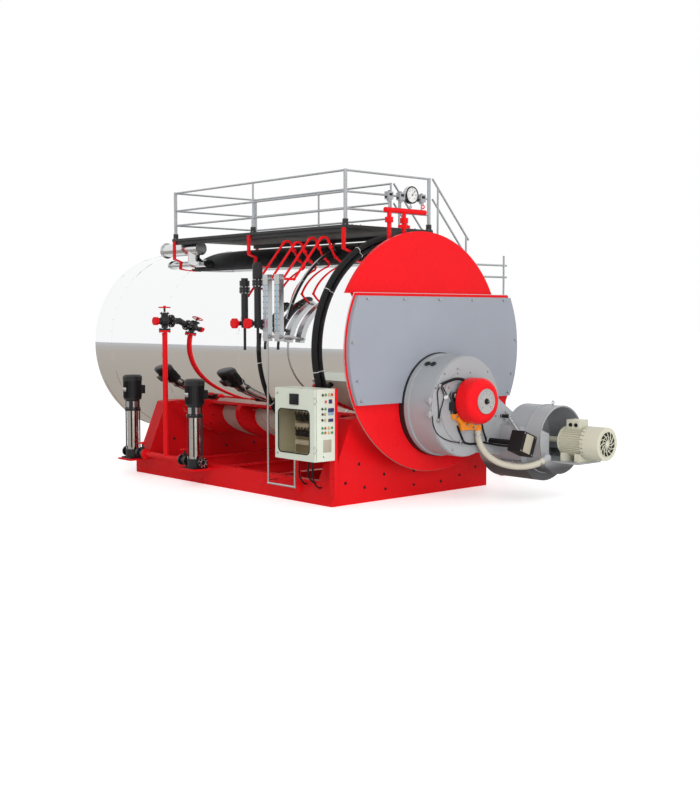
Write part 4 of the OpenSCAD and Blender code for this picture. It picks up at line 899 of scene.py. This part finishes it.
LOCK = [(0, 0.020), (0.008, 0.020), (0.011, 0.012)]
meter = Stock().box((door_x - 0.006, METER_Y, 1.616), (0.028, 0.20, 0.16), bevel=0.006)
meter.box((door_x - 0.0205, METER_Y, 1.625), (0.006, 0.15, 0.09), bevel=0.002)
meter.make("door_meter", plastic, "cabinet_door_leaf")
locks = Stock()
for lock_z in (1.695, 0.80):
    locks.capped((door_x + 0.002, LOCK_Y, lock_z), LEFT, LOCK, 24)
locks.make("door_locks", stainless, "cabinet_door_leaf")

SIDE_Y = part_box("cabinet_door")[0][1]
BUTTONS = {
    "green": ((0.02, 0.32, 0.08), "black_plastic",
              [(-1.963, 1.692), (-1.970, 1.486), (-2.027, 1.210), (-1.843, 1.208), (-2.027, 1.142),
               (-1.843, 1.137)]),
    "yellow": ((0.85, 0.55, 0.03), "orange_paint",
               [(-1.897, 1.692), (-1.971, 1.410), (-1.971, 1.325), (-1.902, 1.206), (-1.902, 1.137)]),
    "red": ((0.75, 0.02, 0.02), "red_paint",
            [(-1.843, 1.690), (-1.963, 1.591), (-1.971, 1.208), (-1.971, 1.139)]),
    "black": ((0.012, 0.012, 0.014), "black_plastic",
              [(-2.020, 1.690), (-2.029, 1.490), (-2.024, 1.412), (-2.029, 1.327)]),
}
BEZEL = [(0, 0.022), (0.006, 0.022), (0.008, 0.017)]
PUSH = [(0, 0.0155), (0.016, 0.0155), (0.020, 0.010)]
bezels = Stock()
for colour_name, (colour, slot, places) in BUTTONS.items():
    heads = Stock()
    for x, z in places:
        bezels.capped((x, SIDE_Y + 0.002, z), FRONT, BEZEL, 24)
        heads.capped((x, SIDE_Y, z), FRONT, PUSH, 20)
    heads.make(f"buttons_{colour_name}", painted(f"button_{colour_name}", colour, 0.3, slot=slot))
bezels.make("button_bezels", stainless)
screens_dark, screens_light, plates = Stock(), Stock(), Stock()
for x, z, w, h in ((-1.862, 1.466, 0.11, 0.058), (-1.866, 1.318, 0.09, 0.045)):
    screens_dark.box((x, SIDE_Y - 0.003, z), (w, 0.016, h), bevel=0.003)
screens_dark.box((-1.872, SIDE_Y - 0.003, 1.593), (0.06, 0.016, 0.06), bevel=0.003)
screens_light.box((-1.862, SIDE_Y - 0.002, 1.412), (0.11, 0.012, 0.040), bevel=0.003)
TAG_X, TAG_Z = -1.931, 0.943
plates.box((TAG_X, SIDE_Y - 0.001, TAG_Z), (0.155, 0.008, 0.185), bevel=0.002)
for dx in (-0.066, 0.066):
    for dz in (-0.08, 0.08):
        plates.dome((TAG_X + dx, SIDE_Y - 0.005, TAG_Z + dz), FRONT, 0.005, 0.003)
screens_dark.make("side_screens", painted("blue_screen", (0.035, 0.04, 0.16), 0.15, slot="black_plastic"))
screens_light.make("side_keypad", painted("pale_blue_keys", (0.25, 0.42, 0.62), 0.35, slot="window_glass"))
plates.make("side_blank_plate", tan_plate)
Stock().bolt((-2.004, SIDE_Y, 0.79), FRONT, 0.018).make("side_earth_screw", stainless)

PLATE_X, GEAR_Y0, GEAR_Z0, GEAR_H = -1.817, -2.855, 0.72, 1.056
breakers, ducts = Stock(), Stock()
for row in (0.30, 0.52):
    for step in range(7):
        y = GEAR_Y0 + 0.13 + step * 0.655 / 7 + 0.0378
        z = GEAR_Z0 + row * GEAR_H + 0.045
        breakers.box((PLATE_X - 0.040, y, z), (0.086, 0.079, 0.094), bevel=0.004)
        breakers.box((PLATE_X - 0.084, y, z), (0.012, 0.022, 0.034), bevel=0.003)
for row in (0.18, 0.42, 0.64):
    z = GEAR_Z0 + row * GEAR_H
    ducts.box((PLATE_X - 0.0295, GEAR_Y0 + 0.4575, z + 0.03), (0.066, 0.70, 0.064), bevel=0.004)
    for step in range(28):
        ducts.box((PLATE_X - 0.05, GEAR_Y0 + 0.12 + 0.025 * step, z + 0.066), (0.028, 0.012, 0.014))
gear_wires = Stock()
for step in range(9):
    y = GEAR_Y0 + 0.15 + 0.072 * step
    for row in (0.30, 0.52):
        z = GEAR_Z0 + row * GEAR_H
        bow = [(PLATE_X - 0.075, y, z + 0.07), (PLATE_X - 0.11, y + 0.01, z + 0.10),
               (PLATE_X - 0.085, y + 0.02, z + 0.145)]
        gear_wires.sweep(smooth_line(bow, 0.01), 0.006, 6)
BLOCK_Z = GEAR_Z0 + 0.75 * GEAR_H
for y, deep, wide, high in ((GEAR_Y0 + 0.33, 0.126, 0.262, 0.152), (GEAR_Y0 + 0.64, 0.096, 0.202, 0.122)):
    middle = (PLATE_X + 0.001 - deep / 2, y, BLOCK_Z + high / 2 - 0.001)
    breakers.box(middle, (deep, wide, high), bevel=0.004)
gear_wires.make("cabinet_wires", plastic, smooth=60)
breakers.make("cabinet_breakers", plastic)
ducts.make("cabinet_wiring_ducts", white_plastic)
relay = Stock().box((PLATE_X - 0.068, -2.52, 1.19), (0.024, 0.05, 0.052), bevel=0.004)
relay.make("cabinet_relay", orange)
stand_low, stand_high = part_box("cabinet_stand")
cabinet_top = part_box("cabinet_box")[1][2]
middle = ((stand_low[0] + stand_high[0]) / 2, stand_low[1] - 0.029, (stand_low[2] + cabinet_top) / 2)
span = (stand_high[0] - stand_low[0] - 0.002, 0.06, cabinet_top - stand_low[2])
angle_bar = Stock().box(middle, span, bevel=0.003)
angle_bar.make("stand_edge_angle", red_paint)

# Cabinet cables
# Three limp black rubber cables. They leave the cabinet's floor, hang free and end in
# the face of the skid's left beam.
UNDER = Vector((-1.725, 0, 0.72))
cable_routes = [
    [(-300, -2640, 0), (-300, -2640, -50), (-295, -2630, -110), (-280, -2610, -180), (-250, -2580, -250),
     (-205, -2545, -320), (-150, -2515, -380), (-90, -2490, -425), (-45, -2480, -450), (0, -2480, -450)],
    [(-240, -2480, 0), (-240, -2480, -50), (-240, -2470, -100), (-230, -2450, -160), (-205, -2420, -220),
     (-165, -2390, -280), (-115, -2365, -330), (-60, -2350, -370), (-35, -2345, -385), (0, -2345, -385)],
    [(-270, -2300, 0), (-270, -2300, -45), (-265, -2290, -105), (-250, -2265, -175), (-220, -2230, -245),
     (-175, -2195, -310), (-120, -2170, -365), (-65, -2150, -405), (-35, -2145, -425), (0, -2145, -425)],
]
for number, route in enumerate(cable_routes, 1):
    points = [UNDER + Vector(p) / 1000 for p in route]
    line = smooth_line(points, 0.02)
    rubber = Stock().sweep(line, 0.013, 14)
    cable = rubber.make(f"cabinet_cable_{number}", plastic, smooth=70)
    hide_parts("cabinet_cables")
    length_of(line)

# Feed pumps
# Two vertical multistage pumps: cast black bases, ports and motors, polished stainless
# sleeves between dark tie rods, and a sheet guard round each coupling.
black_iron.coat("pump_bases", "pump_valves", "pump_motors")
chrome = brushed("polished_sleeve", (0.74, 0.75, 0.76), 0.10, (4.0, 4.0, 90.0))
chrome.coat("pump_sleeves")
SLEEVE_Z0, SLEEVE_Z1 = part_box("pump_sleeves")[0][2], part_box("pump_sleeves")[1][2]
STAY_R, PORT_Z = 0.122, 0.405
stays, guards, pump_bolts, tags = Stock(), Stock(), Stock(), Stock()
for pump_y, way in ((2.45, -1), (0.5, 1)):
    for quarter in range(4):
        t = math.radians(45 + 90 * quarter)
        foot = Vector((PUMP_X + STAY_R * math.cos(t), pump_y + STAY_R * math.sin(t), SLEEVE_Z0 + 0.036))
        stays.rod(foot, (foot.x, foot.y, SLEEVE_Z1 - 0.001), 0.0112, 14)
    for ring_z in (0.62, 0.80, 0.98):
        guards.hoop((PUMP_X, pump_y, ring_z), UP, 0.098, 0.1025, 0.016, 48)
    guards.hoop((PUMP_X, pump_y, SLEEVE_Z1 + 0.062), UP, 0.112, 0.117, 0.106, 48, closed=True)
    pump_bolts.bolts((PUMP_X, pump_y, SLEEVE_Z1 + 0.04), UP, 0.133, 8, 0.016, 22.5)
    valve_y = pump_y + way * 0.315
    for end in (-0.085, 0.085):
        pump_bolts.studs((PUMP_X, valve_y + end, PORT_Z), BACK, 0.076, 6, 0.07, 0.007)
    port_y = pump_y - way * 0.23
    pump_bolts.bolts((PUMP_X, port_y, PORT_Z), (0, -way, 0), 0.072, 8, 0.017, 22.5)
    pump_bolts.ring((PUMP_X, port_y, PORT_Z), BACK, 0.045, 0.006, 32)
    tags.box((PUMP_X - 0.1645, pump_y, 1.53), (0.006, 0.11, 0.07), bevel=0.002)
stays.make("pump_tie_rods", black_iron)
guards.make("pump_guards", stainless)
pump_bolts.make("pump_bolts", stainless)
tags.make("pump_blank_tags", stainless)

# Studio
# Plain pale floor, white surround and soft lamps. Mirrors see a duller floor, a painted reflection of tan
# ground near the boiler turning grey far off, and the surround is white to the camera, metal and glass but
# gentler as light on the boiler.
floor_mesh = bpy.data.meshes.new("studio_floor")
floor_mesh.from_pydata([(-150, -150, 0), (150, -150, 0), (150, 150, 0), (-150, 150, 0)], [], [(0, 1, 2, 3)])
floor = bpy.data.objects.new("studio_floor", floor_mesh)
bpy.context.collection.objects.link(floor)
ground = Finish("studio_floor", (0.82, 0.82, 0.82), 0.55, Emission_Strength=0.52)
in_mirror = ground.node("ShaderNodeLightPath", {}, out="Is Glossy Ray")
to_camera = ground.node("ShaderNodeLightPath", {}, out="Is Camera Ray")
reach = ground.node("ShaderNodeVectorMath", {"operation": "LENGTH"}, ground.place(), out="Value")
far = ground.node("ShaderNodeMath", {"operation": "MULTIPLY", "use_clamp": True}, reach - 20, 0.02)
# Painted reflection: glossy rays see a tan floor within about 20 m, turning grey far off, standing for ground
# and distant hills.
painted_reflection = ground.mix(far, (0.56, 0.50, 0.43), (0.66, 0.67, 0.69))
ground.feed(**{
    "Base Color": ground.mix(in_mirror, (0.82, 0.82, 0.82), painted_reflection),
    "Emission Color": ground.mix(to_camera, (0, 0, 0), (1, 1, 1)),
})
floor_mesh.materials.append(ground.material)

world = bpy.data.worlds.new("studio_surround")
bpy.context.scene.world = world
world.use_nodes = True
tree = world.node_tree
path = tree.nodes.new("ShaderNodeLightPath")
seen = path.outputs["Is Camera Ray"]
for ray in ("Is Glossy Ray", "Is Transmission Ray"):
    either = tree.nodes.new("ShaderNodeMath")
    either.operation = "MAXIMUM"
    tree.links.new(seen, either.inputs[0])
    tree.links.new(path.outputs[ray], either.inputs[1])
    seen = either.outputs[0]
level = tree.nodes.new("ShaderNodeMapRange")
level.inputs["To Min"].default_value = 0.56
level.inputs["To Max"].default_value = 1.0
tree.links.new(seen, level.inputs["Value"])
back = tree.nodes["Background"]
back.inputs["Color"].default_value = (1, 1, 1, 1)
tree.links.new(level.outputs[0], back.inputs["Strength"])


def lamp(name, at, aim, size, power):
    light = bpy.data.lights.new(name, "AREA")
    light.shape, light.size, light.energy = "DISK", size, power
    made = bpy.data.objects.new(name, light)
    made.location = at
    made.rotation_euler = (Vector(aim) - Vector(at)).to_track_quat("-Z", "Y").to_euler()
    made.visible_glossy = False
    bpy.context.collection.objects.link(made)


lamp("key_lamp", (-12, -12, 14), (0, -1, 2), 8, 900)
lamp("fill_lamp", (10, -14, 8), (0, -2, 2), 8, 340)
lamp("low_front_lamp", (-6, -16, 2.4), (0, -3, 1.4), 8, 950)
